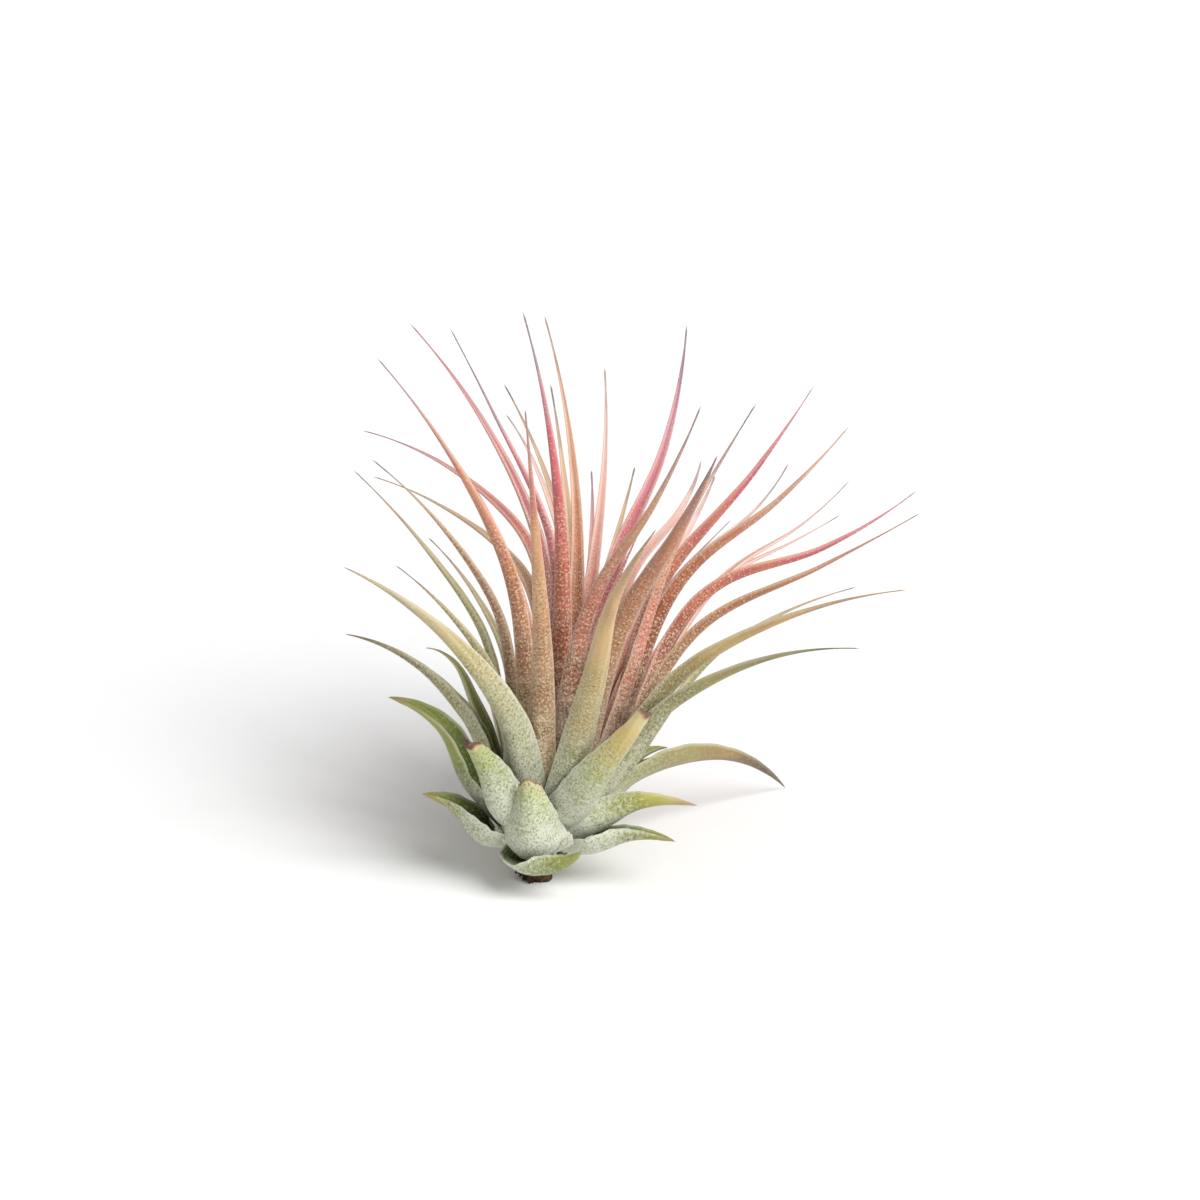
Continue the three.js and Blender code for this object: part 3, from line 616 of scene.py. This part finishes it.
    # The rotted end, straw-coloured and then brown towards the cut.
    rot = add(tree, "Math", {0: fibres, 1: 0.5, 2: dead}, operation="MULTIPLY_ADD").outputs[0]
    rot = add(tree, "MapRange", {0: rot, 1: 0.3, 2: 1.25}).outputs[0]
    browns = [(0, "#d4bc92"), (0.6, "#a5825a"), (1, "#70503a")]
    brown = add(tree, "ValToRGB", {"Fac": rot}, stops=browns).outputs[0]
    browned = add(tree, "MapRange", {0: rot, 1: 0.05, 2: 0.3}).outputs[0]
    still = add(tree, "MapRange", {0: dead, 1: 0, 2: 0.2}).outputs[0]
    browned = add(tree, "Math", {0: browned, 1: still}, operation="MULTIPLY").outputs[0]
    tone = add(tree, "Mix", {0: browned, 6: tone, 7: brown}, data_type="RGBA").outputs[2]

    # Scales and veins stand up a little, and scales are more matt than the waxy skin.
    relief = add(tree, "Math", {0: veins, 1: 0.5, 2: white}, operation="MULTIPLY_ADD").outputs[0]
    bump = add(tree, "Bump", {"Height": relief, "Strength": 0.7, "Distance": RELIEF_DEPTH * MM}).outputs[0]
    rough = add(tree, "MapRange", {0: white, 3: 0.48, 4: 0.85}).outputs[0]
    surface = add(tree, "BsdfPrincipled", {
        "Base Color": tone,
        "Roughness": rough,
        "Specular IOR Level": 0.35,
        "Subsurface Weight": 0.2,
        "Subsurface Radius": (1, 0.5, 0.3),
        "Subsurface Scale": 0.8 * MM,
        "Sheen Weight": 0.2,
        "Normal": bump,
    })
    add(tree, "OutputMaterial", {"Surface": surface.outputs[0]})
    return material


# Sun-flushed rose: orange-brown low down, pink above, and grey-mauve near the dry point.
rose = leaf_skin(
    "rose_flushed_leaf",
    [(0, "#8a8560"), (0.16, "#8e7250"), (0.28, "#9e5634"), (0.4, "#be6c4c"), (0.5, "#ce7c64"),
     (0.6, "#c86a68"), (0.72, "#c86874"), (0.83, "#c0828e"), (0.9, "#9a8490"), (1, "#6c686c")],
    [(0, "#9a8a6c"), (0.3, "#8e5442"), (0.6, "#c27068"), (0.85, "#c48c90"), (1, "#8a7a7c")],
    (0.75, -0.08, 62, 0.6, 0.9),
    "#f0cab4",
)
# Sun-flushed mauve: a red-brown foot under cooler pink, which turns plum-grey at the point.
mauve = leaf_skin(
    "mauve_flushed_leaf",
    [(0, "#8a8560"), (0.17, "#8e7452"), (0.3, "#874c3a"), (0.45, "#a5645a"), (0.58, "#c07c78"),
     (0.7, "#c87a84"), (0.82, "#c07e90"), (0.9, "#9c8698"), (1, "#6e6a74")],
    [(0, "#9a8a6c"), (0.3, "#94584a"), (0.6, "#c47074"), (0.85, "#c08494"), (1, "#8a7a88")],
    (0.75, -0.08, 62, 0.6, 0.9),
    "#ecc8b8",
)
# Sun-flushed amber: orange where the rose leaves are pink, and paler towards the point.
amber = leaf_skin(
    "amber_flushed_leaf",
    [(0, "#8a855c"), (0.16, "#92784e"), (0.28, "#935433"), (0.4, "#a8603f"), (0.5, "#b97250"),
     (0.6, "#c88868"), (0.72, "#d09c82"), (0.84, "#d4ae9c"), (0.9, "#b8a496"), (1, "#706c6a")],
    [(0, "#9a8c64"), (0.3, "#965a38"), (0.6, "#c48460"), (0.85, "#ccaa90"), (1, "#94887c")],
    (0.75, -0.08, 62, 0.6, 0.9),
    "#ecccb4",
)
grow([
    ("heart_leaf_1", (3.7, 49), (2.9, 66, 12), (-2.9, 96.2, 20), 6.5, "tan leaf", rose),
    ("heart_leaf_2", (6.3, 49), (6, 66.8, -11), (0.7, 95.9, -18), 6, "tan leaf", amber),
    ("heart_leaf_3", (1.4, 58.3), (-8.2, 79.6, 3), (-15.3, 93.5, 5), 5.5, "coral leaf", mauve,
     {"shade": 2}),
    # Its step of shade darkens it: painted shade on a leaf that stands in the full light.
    ("heart_leaf_4", (-1, 59.2), (-9.9, 77.9, -13), (-22.3, 94.5, -15), 6.5, "rose leaf", mauve,
     {"shade": -3}),
    ("heart_leaf_5", (13.2, 54.5), (21.2, 73.3, -6), (25, 94.2, -9), 6.5, "rose leaf", mauve,
     {"open": 50, "taper": 1.3}),
    ("heart_leaf_6", (-2.2, 43), (-7.1, 58.7, 9), (-14, 70.7, 9), 5.5, "coral leaf", rose),
    ("heart_leaf_7", (9.2, 39.6), (13.1, 50.3, 7), (17.9, 60.9, 9), 5.5, "rose leaf", rose,
     {"shade": -4}),
])


# The back leaves: six thin ones, which clasp the stem behind the heart and rise there. They are seen
# against the light and let some of it through; most are paler than the rest, with that glow painted
# into their colour, and their tips are dry and grey.

# Pale blush: pale pink, with the glow of light through a thin leaf painted into its colour.
blush = leaf_skin(
    "blush_flushed_leaf",
    [(0, "#a08c70"), (0.25, "#b87c68"), (0.5, "#d89684"), (0.7, "#deaa9c"), (0.86, "#ccb2ac"),
     (1, "#7a7878")],
    [(0, "#a08c70"), (0.25, "#b87c68"), (0.5, "#d89684"), (0.7, "#e0b0a4"), (0.86, "#dcbeb4"),
     (1, "#948a8a")],
    (0.5, -0.05, 60, 0.8, 0.85),
    "#f0d4c4",
)
# Tan: sunned but without pink, olive-brown at the foot and sandy above.
tan = leaf_skin(
    "tan_leaf",
    [(0, "#848058"), (0.15, "#7d6a44"), (0.3, "#8a6a46"), (0.42, "#a5785c"), (0.55, "#b2896e"),
     (0.68, "#b8906e"), (0.8, "#bfa084"), (0.88, "#b8a88e"), (1, "#726e68")],
    [(0, "#8c8862"), (0.3, "#8a6a46"), (0.6, "#b89274"), (0.85, "#c4ac90"), (1, "#726e68")],
    (0.78, -0.08, 62, 0.7, 0.9),
    "#e6ceb0",
)
grow([
    ("back_leaf_1", (5.4, 54), (3.6, 71.9, -26), (1.7, 84.3, -36), 5.5, "blush leaf", tan),
    ("back_leaf_2", (3.4, 60.9), (-1.4, 74.5, -22), (-6.3, 84.3, -28), 5.5, "blush leaf", tan),
    ("back_leaf_3", (3.4, 58.2), (-1.1, 70.7, -40), (-6, 79.2, -52), 5.5, "blush leaf", blush),
    ("back_leaf_4", (9.2, 53.7), (11, 71, -26), (11, 87.2, -38), 6, "blush leaf", blush),
    ("back_leaf_5", (8.5, 52.4), (8.9, 62.9, -47), (8.7, 69.7, -57), 5.5, "tan leaf", rose),
    ("back_leaf_6", (11.2, 51.5), (14.3, 62.6, -40), (16.2, 70.2, -52), 5.5, "tan leaf", tan),
])


# The leaves of the left side: seven that clasp the upper stem and arch out to the left, from apricot
# and rose ones near the heart to tan and olive ones lower down.

# Olive: grown half in the shade, green-brown at the foot and buff above.
olive = leaf_skin(
    "olive_leaf",
    [(0, "#80875c"), (0.2, "#74774a"), (0.4, "#8f8b52"), (0.6, "#a89a66"), (0.75, "#b09874"),
     (0.88, "#a89078"), (1, "#74706a")],
    [(0, "#6a7038"), (0.3, "#7c7e3c"), (0.6, "#a0945a"), (0.85, "#b09a7c"), (1, "#74706a")],
    (0.65, -0.05, 50, 0.7, 0.6),
    "#d6d2b4",
)
# Apricot: soft orange that turns pink and then mauve-grey above.
apricot = leaf_skin(
    "apricot_flushed_leaf",
    [(0, "#84805a"), (0.17, "#86764e"), (0.3, "#a2704a"), (0.45, "#ba7a56"), (0.6, "#c4866a"),
     (0.7, "#be8069"), (0.8, "#bd867c"), (0.87, "#b4949a"), (0.92, "#988a8e"), (1, "#6c6a6c")],
    [(0, "#8f8a66"), (0.3, "#966c4a"), (0.6, "#c08668"), (0.85, "#cc9c8c"), (1, "#6c6a6c")],
    (0.78, -0.08, 60, 0.6, 0.9),
    "#ecceb0",
)
grow([
    ("left_leaf_1", (-6.3, 54.4), (-16.2, 73.3, 22), (-27.5, 88.2, 27), 6.5, "tan leaf", apricot),
    ("left_leaf_2", (-4.3, 60.2), (-16.3, 70.3, -20), (-30.6, 76.3, -26), 6, "blush leaf", rose),
    ("left_leaf_3", (-5.3, 54.6), (-16.7, 63.2, -34), (-28.9, 68.5, -42), 6, "olive leaf", tan),
    ("left_leaf_4", (-8.5, 47.6), (-17.7, 60.9, 9), (-28.6, 71.2, 12), 6, "tan leaf", tan),
    ("left_leaf_5", (-7.8, 42.3), (-13.4, 51.5, -13), (-19.2, 58, -17), 5.5, "olive leaf", olive),
    ("left_leaf_6", (-10.9, 43.7), (-19.9, 56.6, -3), (-31.8, 69.4, -6), 6, "olive leaf", olive,
     {"shade": 1}),
    ("left_leaf_7", (-9.9, 37.7), (-16, 45.6, 10), (-24.5, 53.2, 14), 6, "olive leaf", olive),
])


# The leaves of the right side: sixteen that clasp the stem one below the other and fan out to the
# right, russet near the heart, then rose, amber, blush and copper, and straw and khaki at the bottom.

# Russet: a red-brown zone above the foot, tan above that, and a grey point.
russet = leaf_skin(
    "russet_leaf",
    [(0, "#86845a"), (0.15, "#827650"), (0.25, "#7c5a38"), (0.35, "#ac6c4c"), (0.45, "#ca7862"),
     (0.56, "#c48a72"), (0.66, "#c29474"), (0.78, "#c49c86"), (0.88, "#a88a84"), (1, "#686466")],
    [(0, "#867a58"), (0.3, "#8c5844"), (0.6, "#b8806c"), (0.85, "#b89080"), (1, "#686466")],
    (0.85, -0.08, 60, 0.6, 0.9),
    "#ecceb8",
)
# Sun-flushed coral: duller and redder than rose, with a grey-pink point.
coral = leaf_skin(
    "coral_flushed_leaf",
    [(0, "#8a8560"), (0.17, "#8e7450"), (0.28, "#8a5240"), (0.42, "#a5604c"), (0.55, "#b97462"),
     (0.68, "#c0716a"), (0.81, "#c47e80"), (0.9, "#a58c8e"), (1, "#706c6e")],
    [(0, "#9a8a6c"), (0.3, "#9a604c"), (0.6, "#c08070"), (0.85, "#cca098"), (1, "#908688")],
    (0.78, -0.08, 62, 0.6, 0.9),
    "#eccabc",
)
# Copper: even orange-brown, with a mauve-grey point.
copper = leaf_skin(
    "copper_leaf",
    [(0, "#807c52"), (0.17, "#8a7a50"), (0.28, "#8c6844"), (0.4, "#ae7c56"), (0.52, "#b07a58"),
     (0.64, "#b0785a"), (0.76, "#b67c64"), (0.87, "#b07c72"), (0.93, "#94807c"), (1, "#6c686a")],
    [(0, "#86825c"), (0.3, "#8c6444"), (0.6, "#b0805f"), (0.85, "#b88a7a"), (1, "#6c686a")],
    (0.78, -0.08, 62, 0.6, 0.9),
    "#e8ccac",
)
# Khaki: grey-green outside, deep green low down inside, and brownish at the point.
khaki = leaf_skin(
    "khaki_leaf",
    [(0, "#7e8050"), (0.2, "#84854e"), (0.4, "#969260"), (0.55, "#a0965f"), (0.7, "#96875a"),
     (0.85, "#82785a"), (1, "#7c7050")],
    [(0, "#4a5620"), (0.3, "#6c7438"), (0.6, "#8c864a"), (1, "#988c64")],
    (0.95, -0.05, 45, 0.4, 0.5),
    "#d2d2b8",
)
# Straw: dark green at the foot and straw yellow above.
straw = leaf_skin(
    "straw_leaf",
    [(0, "#70784e"), (0.14, "#5f6a3c"), (0.24, "#767c50"), (0.34, "#a3935a"), (0.45, "#b59d62"),
     (0.56, "#c2a872"), (0.66, "#c6a46e"), (0.78, "#bd966a"), (0.92, "#b4926c"), (1, "#8f7e64")],
    [(0, "#6c7038"), (0.3, "#888246"), (0.6, "#b8a066"), (0.85, "#ccaa7c"), (1, "#8f7e64")],
    (0.85, -0.05, 48, 0.6, 0.6),
    "#d8d6bc",
)
grow([
    ("right_leaf_1", (10.4, 49.8), (19.4, 63.6, 30), (27.2, 80, 40), 6.5, "tan leaf", russet),
    ("right_leaf_2", (26.2, 62.9), (32, 72.9, 14), (36.7, 80.6, 18), 6, "tan leaf", russet),
    # Its step of shade darkens it: painted shade on a leaf that stands in the full light.
    ("right_leaf_3", (22.3, 51.9), (36.1, 68.5, -9), (46.8, 84, -13), 6.5, "rose leaf", rose,
     {"open": -45, "taper": 1.3, "shade": -3}),
    ("right_leaf_4", (16.3, 46.8), (23.3, 58.3, 33), (30, 71.7, 46), 8, "brown leaf", copper,
     {"taper": 1.15}),
    ("right_leaf_5", (17, 54.4), (23.1, 61.5, -20), (27.5, 71.2, -28), 6, "blush leaf", blush,
     {"open": 45, "taper": 1.1}),
    ("right_leaf_6", (21.3, 52), (26.7, 61.7, -35), (30, 68.7, -45), 6, "blush leaf", blush,
     {"open": 30, "taper": 1.3}),
    ("right_leaf_7", (26.9, 53.5), (40.3, 64, 9.5), (52.4, 76.7, 12), 6.5, "tan leaf", amber,
     {"open": -25, "taper": 1.4, "shade": -2.5}),
    ("right_leaf_8", (27.5, 54.9), (36.8, 62.7, -31), (42.6, 70.8, -38), 6, "blush leaf", blush),
    ("right_leaf_9", (23.8, 52), (28.2, 56.6, 0), (32.6, 61, -1), 5.5, "coral leaf", coral),
    ("right_leaf_10", (34.5, 53.6), (44.8, 60.2, -26), (53, 67.8, -32), 6, "blush leaf", blush),
    ("right_leaf_11", (32, 50.5), (47.6, 55.8, -9), (64.3, 66, -12), 6, "rose leaf", rose,
     {"open": -40, "taper": 1.3, "shade": -3}),
    ("right_leaf_12", (34.5, 52.9), (43.2, 57.2, -43), (51.7, 62, -52), 6, "blush leaf", blush),
    ("right_leaf_13", (29.8, 44.4), (47.6, 52.9, 18), (64.4, 62, 24), 6.5, "tan leaf", copper,
     {"shade": -1}),
    ("right_leaf_14", (34, 41.1), (44.9, 46.6, 1), (53.9, 49.5, 0), 6, "coral leaf", olive),
    ("right_leaf_15", (27.2, 36.7), (44.2, 45.1, 29), (62, 49, 38), 8, "tan leaf", straw),
    ("right_leaf_16", (23.8, 30.3), (38.3, 37.3, 30), (54, 39.1, 40), 8, "olive leaf", khaki),
])


# The front leaves: six that clasp the front of the stem and rise towards the viewer. Three keep their
# points. The lowest three, broad and silvery, rotted off short and end in a ragged brown edge.

# Gold: olive at the foot, golden in the middle, and flushed pink under the dry point.
gold = leaf_skin(
    "gold_leaf",
    [(0, "#6e6a44"), (0.15, "#6c6a42"), (0.25, "#8c7450"), (0.35, "#a27850"), (0.46, "#bd8e66"),
     (0.58, "#c69a70"), (0.68, "#c8966e"), (0.78, "#c27a62"), (0.88, "#bc7c76"), (1, "#8c7c82")],
    [(0, "#87845c"), (0.35, "#a0784f"), (0.6, "#c09468"), (0.85, "#c48878"), (1, "#8c7c82")],
    (0.95, -0.08, 60, 0.6, 0.9),
    "#ead0ac",
)
# Straw green: silvered over grey-green at the foot, and pale straw above.
lime = leaf_skin(
    "straw_green_leaf",
    [(0, "#808a5c"), (0.15, "#848c5a"), (0.3, "#a0a272"), (0.42, "#b6ae7c"), (0.55, "#bcac78"),
     (0.68, "#bbaa7e"), (0.8, "#b4a482"), (0.92, "#aca186"), (1, "#a0956e")],
    [(0, "#6e7a34"), (0.25, "#87923e"), (0.5, "#a8a45a"), (0.8, "#b4a674"), (1, "#a0956e")],
    (1.1, 0, 42, 0.4, 0.4),
    "#d4d4bc",
)
# Yellow green: thickly silvered at the foot, and yellowing towards its cut end.
fresh = leaf_skin(
    "yellow_green_leaf",
    [(0, "#8c9468"), (0.2, "#868c5c"), (0.4, "#8c9656"), (0.55, "#9ea454"), (0.7, "#b2ac60"),
     (0.85, "#c0aa6c"), (1, "#c8b884")],
    [(0, "#6e7a34"), (0.3, "#8a9440"), (0.6, "#a8a456"), (1, "#c0b078")],
    (1.25, 0, 30, 0.4, 0.35),
    "#d2d3c0",
)
# Grey green: silvered nearly all over, and fresh green where the silver has worn off.
withered = leaf_skin(
    "withered_grey_green_leaf",
    [(0, "#7a8248"), (0.35, "#828c52"), (0.6, "#83964a"), (0.8, "#8f9f52"), (0.95, "#a4aa5e"),
     (1, "#b8b078")],
    [(0, "#6e7a34"), (0.6, "#8a964c"), (1, "#a0945c")],
    (1.5, 0.2, 24, 0.4, 0.3),
    "#d2d3c1",
)
grow([
    ("front_leaf_1", (0.3, 37), (-0.9, 60.9, 36), (-2.4, 79.4, 50), 7.5, "tan leaf", gold),
    ("front_leaf_2", (8.8, 31.1), (13.3, 48.3, 46), (19.7, 59.2, 60), 8.5, "olive leaf", straw,
     {"taper": 1.3}),
    ("front_leaf_3", (-6.8, 28.6, 17), (-18, 42.8, 24), (-33.2, 52.9, 30), 13, "straw leaf", lime),
    ("front_leaf_4", (6.6, 11.8, 13), (11.9, 18.9, 20), (18.2, 27.8, 26), 9.5, "green leaf", fresh,
     {"cut": 0.25, "dead": 0.9}),
    ("front_leaf_5", (-6.8, 11, 12), (-9.3, 17.2, 15), (-12.3, 22.4, 18), 11, "scurfy leaf", withered,
     {"cut": 0.28, "dead": 0.7, "slant": -0.7}),
    ("front_leaf_6", (-1.5, 3.6, 10), (-2, 8.5, 15), (-2.4, 16.4, 17), 14, "scurfy leaf", withered,
     {"cut": 0.28, "dead": 0.5}),
])


# The side and foot leaves: nine short ones round the foot of the stem, the oldest in front. They are
# broad and curved back, silvery grey-green outside and vivid green inside, with tan tips. One at the
# right has dried to dun, one at the left is khaki, and the lowest of all is moss green.

# Grey green: silvery outside and vivid dark green inside, and tan at the tip.
green = leaf_skin(
    "grey_green_outer_leaf",
    [(0, "#88905f"), (0.3, "#7c8650"), (0.5, "#7f8838"), (0.65, "#888c38"), (0.8, "#98964a"),
     (0.92, "#a29a5c"), (1, "#9a8a62")],
    [(0, "#3a4812"), (0.3, "#4a5c16"), (0.5, "#58691e"), (0.65, "#687428"), (0.8, "#7e8636"),
     (0.92, "#8a8840"), (1, "#948c60")],
    (1.35, -0.3, 22, 0.12, 0.3),
    "#d0d2be",
)
# Dun: dull green-brown that darkens towards its dry end.
dun = leaf_skin(
    "dun_side_leaf",
    [(0, "#a09e74"), (0.25, "#8f8e5c"), (0.5, "#8f8554"), (0.65, "#8c7448"), (0.78, "#785f3c"),
     (0.88, "#564830"), (1, "#64583e")],
    [(0, "#5a6230"), (0.3, "#767038"), (0.7, "#7c6e44"), (1, "#64583e")],
    (0.6, -0.1, 30, 0.5, 0.4),
    "#c8c6a8",
)
# Moss green: thinly silvered, and green on both faces.
moss = leaf_skin(
    "moss_green_foot_leaf",
    [(0, "#7c8550"), (0.4, "#86904c"), (0.7, "#8c9248"), (1, "#8f8c50")],
    [(0, "#3c4a12"), (0.4, "#55661c"), (0.7, "#6c7628"), (1, "#84843c")],
    (0.9, -0.1, 16, 0.1, 0.3),
    "#d0d2be",
)
grow([
    # Its step of shade lightens it: painted light on a leaf whose inner face lies in shadow.
    ("side_leaf_1", (-10.9, 28.6), (-14.5, 36.4, -8), (-19.6, 39.1, -14), 8.5, "olive leaf", green,
     {"open": 20, "shade": 3}),
    ("side_leaf_2", (-13, 27.5), (-20.5, 35.8, -3), (-33.3, 41.5, -6), 11, "straw leaf", khaki),
    ("side_leaf_3", (-12.4, 16, 5), (-17.4, 26, 6), (-25.8, 30.8, 4), 12, "green leaf", green,
     {"open": 45, "taper": 1.1}),
    ("side_leaf_4", (11.9, 15.8), (17, 20.6, -7), (21.8, 22.1, -12), 10, "green leaf", green,
     {"open": 30, "taper": 1.3}),
    ("side_leaf_5", (16.5, 17, -7), (26, 20.2, -15), (42, 15, -37), 10, "olive leaf", dun,
     {"open": -20, "taper": 1.3}),
    # Its step of shade lightens it: painted light on a leaf whose foot lies in shadow.
    ("foot_leaf_1", (8, 8, 7), (17, 12.4, 9), (26.7, 12.4, 10), 12.5, "green leaf", green,
     {"open": -30, "taper": 1.4, "shade": 3}),
    ("foot_leaf_2", (-10, 6.6, 5), (-15.8, 12.6, 7), (-20, 14.4, 8), 14.5, "green leaf", green,
     {"open": 30, "taper": 1.1}),
    ("foot_leaf_3", (9, 4.8, 6.5), (15.5, 6.9, 8), (23, 6.3, 9), 11, "green leaf", green,
     {"open": 25, "taper": 1.2}),
    ("foot_leaf_4", (-2, 2.2, 8), (1.2, 1.2, 12), (7.1, 4.6, 15), 12, "green leaf", moss,
     {"open": 30, "taper": 1, "shade": -1}),
])


# The rear leaves: seven low on the back of the stem, hidden from the front. The lowest are grey-green
# and prop the plant on the ground, and the higher ones are olive.

grow([
    ("rear_leaf_1", (-3, 15), (-5, 22, -22), (-9, 17, -42), 8, "scurfy leaf", green),
    ("rear_leaf_2", (4, 15), (7, 22, -23), (11, 17.8, -44), 8, "scurfy leaf", green),
    ("rear_leaf_3", (-4, 12), (-7, 14, -15), (-11, 13, -27), 8, "scurfy leaf", green),
    ("rear_leaf_4", (5, 11), (9, 13, -15), (13, 12, -27), 8, "scurfy leaf", green),
    ("rear_leaf_5", (0.5, 19.5), (1, 30.5, -31), (3, 38, -56), 7.5, "olive leaf", olive),
    ("rear_leaf_6", (-5, 19), (-8, 30, -20), (-12, 38, -40), 7.5, "olive leaf", olive),
    ("rear_leaf_7", (7, 17), (11.5, 25, -23), (19, 29, -46), 7.5, "olive leaf", olive),
])


# The studio: white paper on the floor, a white room, and one big soft light at the upper right
# in front. The camera stands far off, 22 degrees above the floor, and looks straight into the rosette.

# Matt white paper, with clouds 25 mm wide, 40 for each metre, that hardly show. Its size is in metres.
FLOOR_SIZE = 8
CLOUDS_PER_METRE = 40
paper, tree = new_material("white_paper_floor")
spot = add(tree, "TexCoord").outputs["Object"]
clouds = add(tree, "TexNoise", {"Vector": spot, "Scale": CLOUDS_PER_METRE, "Detail": 4}).outputs["Fac"]
tone = add(tree, "ValToRGB", {"Fac": clouds}, stops=[(0.3, "#f4f4f4"), (0.7, "#f7f7f7")])
finish = {"Base Color": tone.outputs[0], "Roughness": 0.9, "Specular IOR Level": 0.1}
skin = add(tree, "BsdfPrincipled", finish)
add(tree, "OutputMaterial", {"Surface": skin.outputs[0]})
edge = FLOOR_SIZE / 2
corners = [(-edge, -edge, 0), (edge, -edge, 0), (edge, edge, 0), (-edge, edge, 0)]
mesh = bpy.data.meshes.new("floor")
mesh.from_pydata(corners, [], [(0, 1, 2, 3)])
mesh.materials.append(paper)
floor = bpy.data.objects.new("floor", mesh)
bpy.context.scene.collection.objects.link(floor)

ROOM_LIGHT = 0.45
room = bpy.data.worlds.new("white_room")
room.use_nodes = True
walls = room.node_tree.nodes["Background"]
walls.inputs["Color"].default_value = (1, 1, 1, 1)
walls.inputs["Strength"].default_value = ROOM_LIGHT
bpy.context.scene.world = room

SOFTBOX_SPREAD = np.radians(40)
SOFTBOX_STRENGTH = 3.2
SOFTBOX_TURN = (np.radians(46), 0, np.radians(46))
lamp = bpy.data.lights.new("softbox", "SUN")
lamp.angle = SOFTBOX_SPREAD
lamp.energy = SOFTBOX_STRENGTH
softbox = bpy.data.objects.new("softbox", lamp)
softbox.rotation_euler = SOFTBOX_TURN
bpy.context.scene.collection.objects.link(softbox)

# The view is VIEW_WIDTH metres wide at its middle, CAMERA_DISTANCE metres away, about VIEW_MIDDLE, a
# place in the leaning frame.
VIEW_WIDTH = 0.204
VIEW_MIDDLE = (10.2, 47.3, 0)
CAMERA_DISTANCE = 4
SENSOR = 36
lens = bpy.data.cameras.new("camera")
lens.sensor_width = SENSOR
lens.lens = SENSOR * CAMERA_DISTANCE / VIEW_WIDTH
camera = bpy.data.objects.new("camera", lens)
camera.location = place(VIEW_MIDDLE) * MM + front * CAMERA_DISTANCE
camera.rotation_euler = (np.pi / 2 - LEAN, 0, 0)
bpy.context.scene.collection.objects.link(camera)
bpy.context.scene.camera = camera
bpy.context.scene.view_settings.view_transform = "Standard"
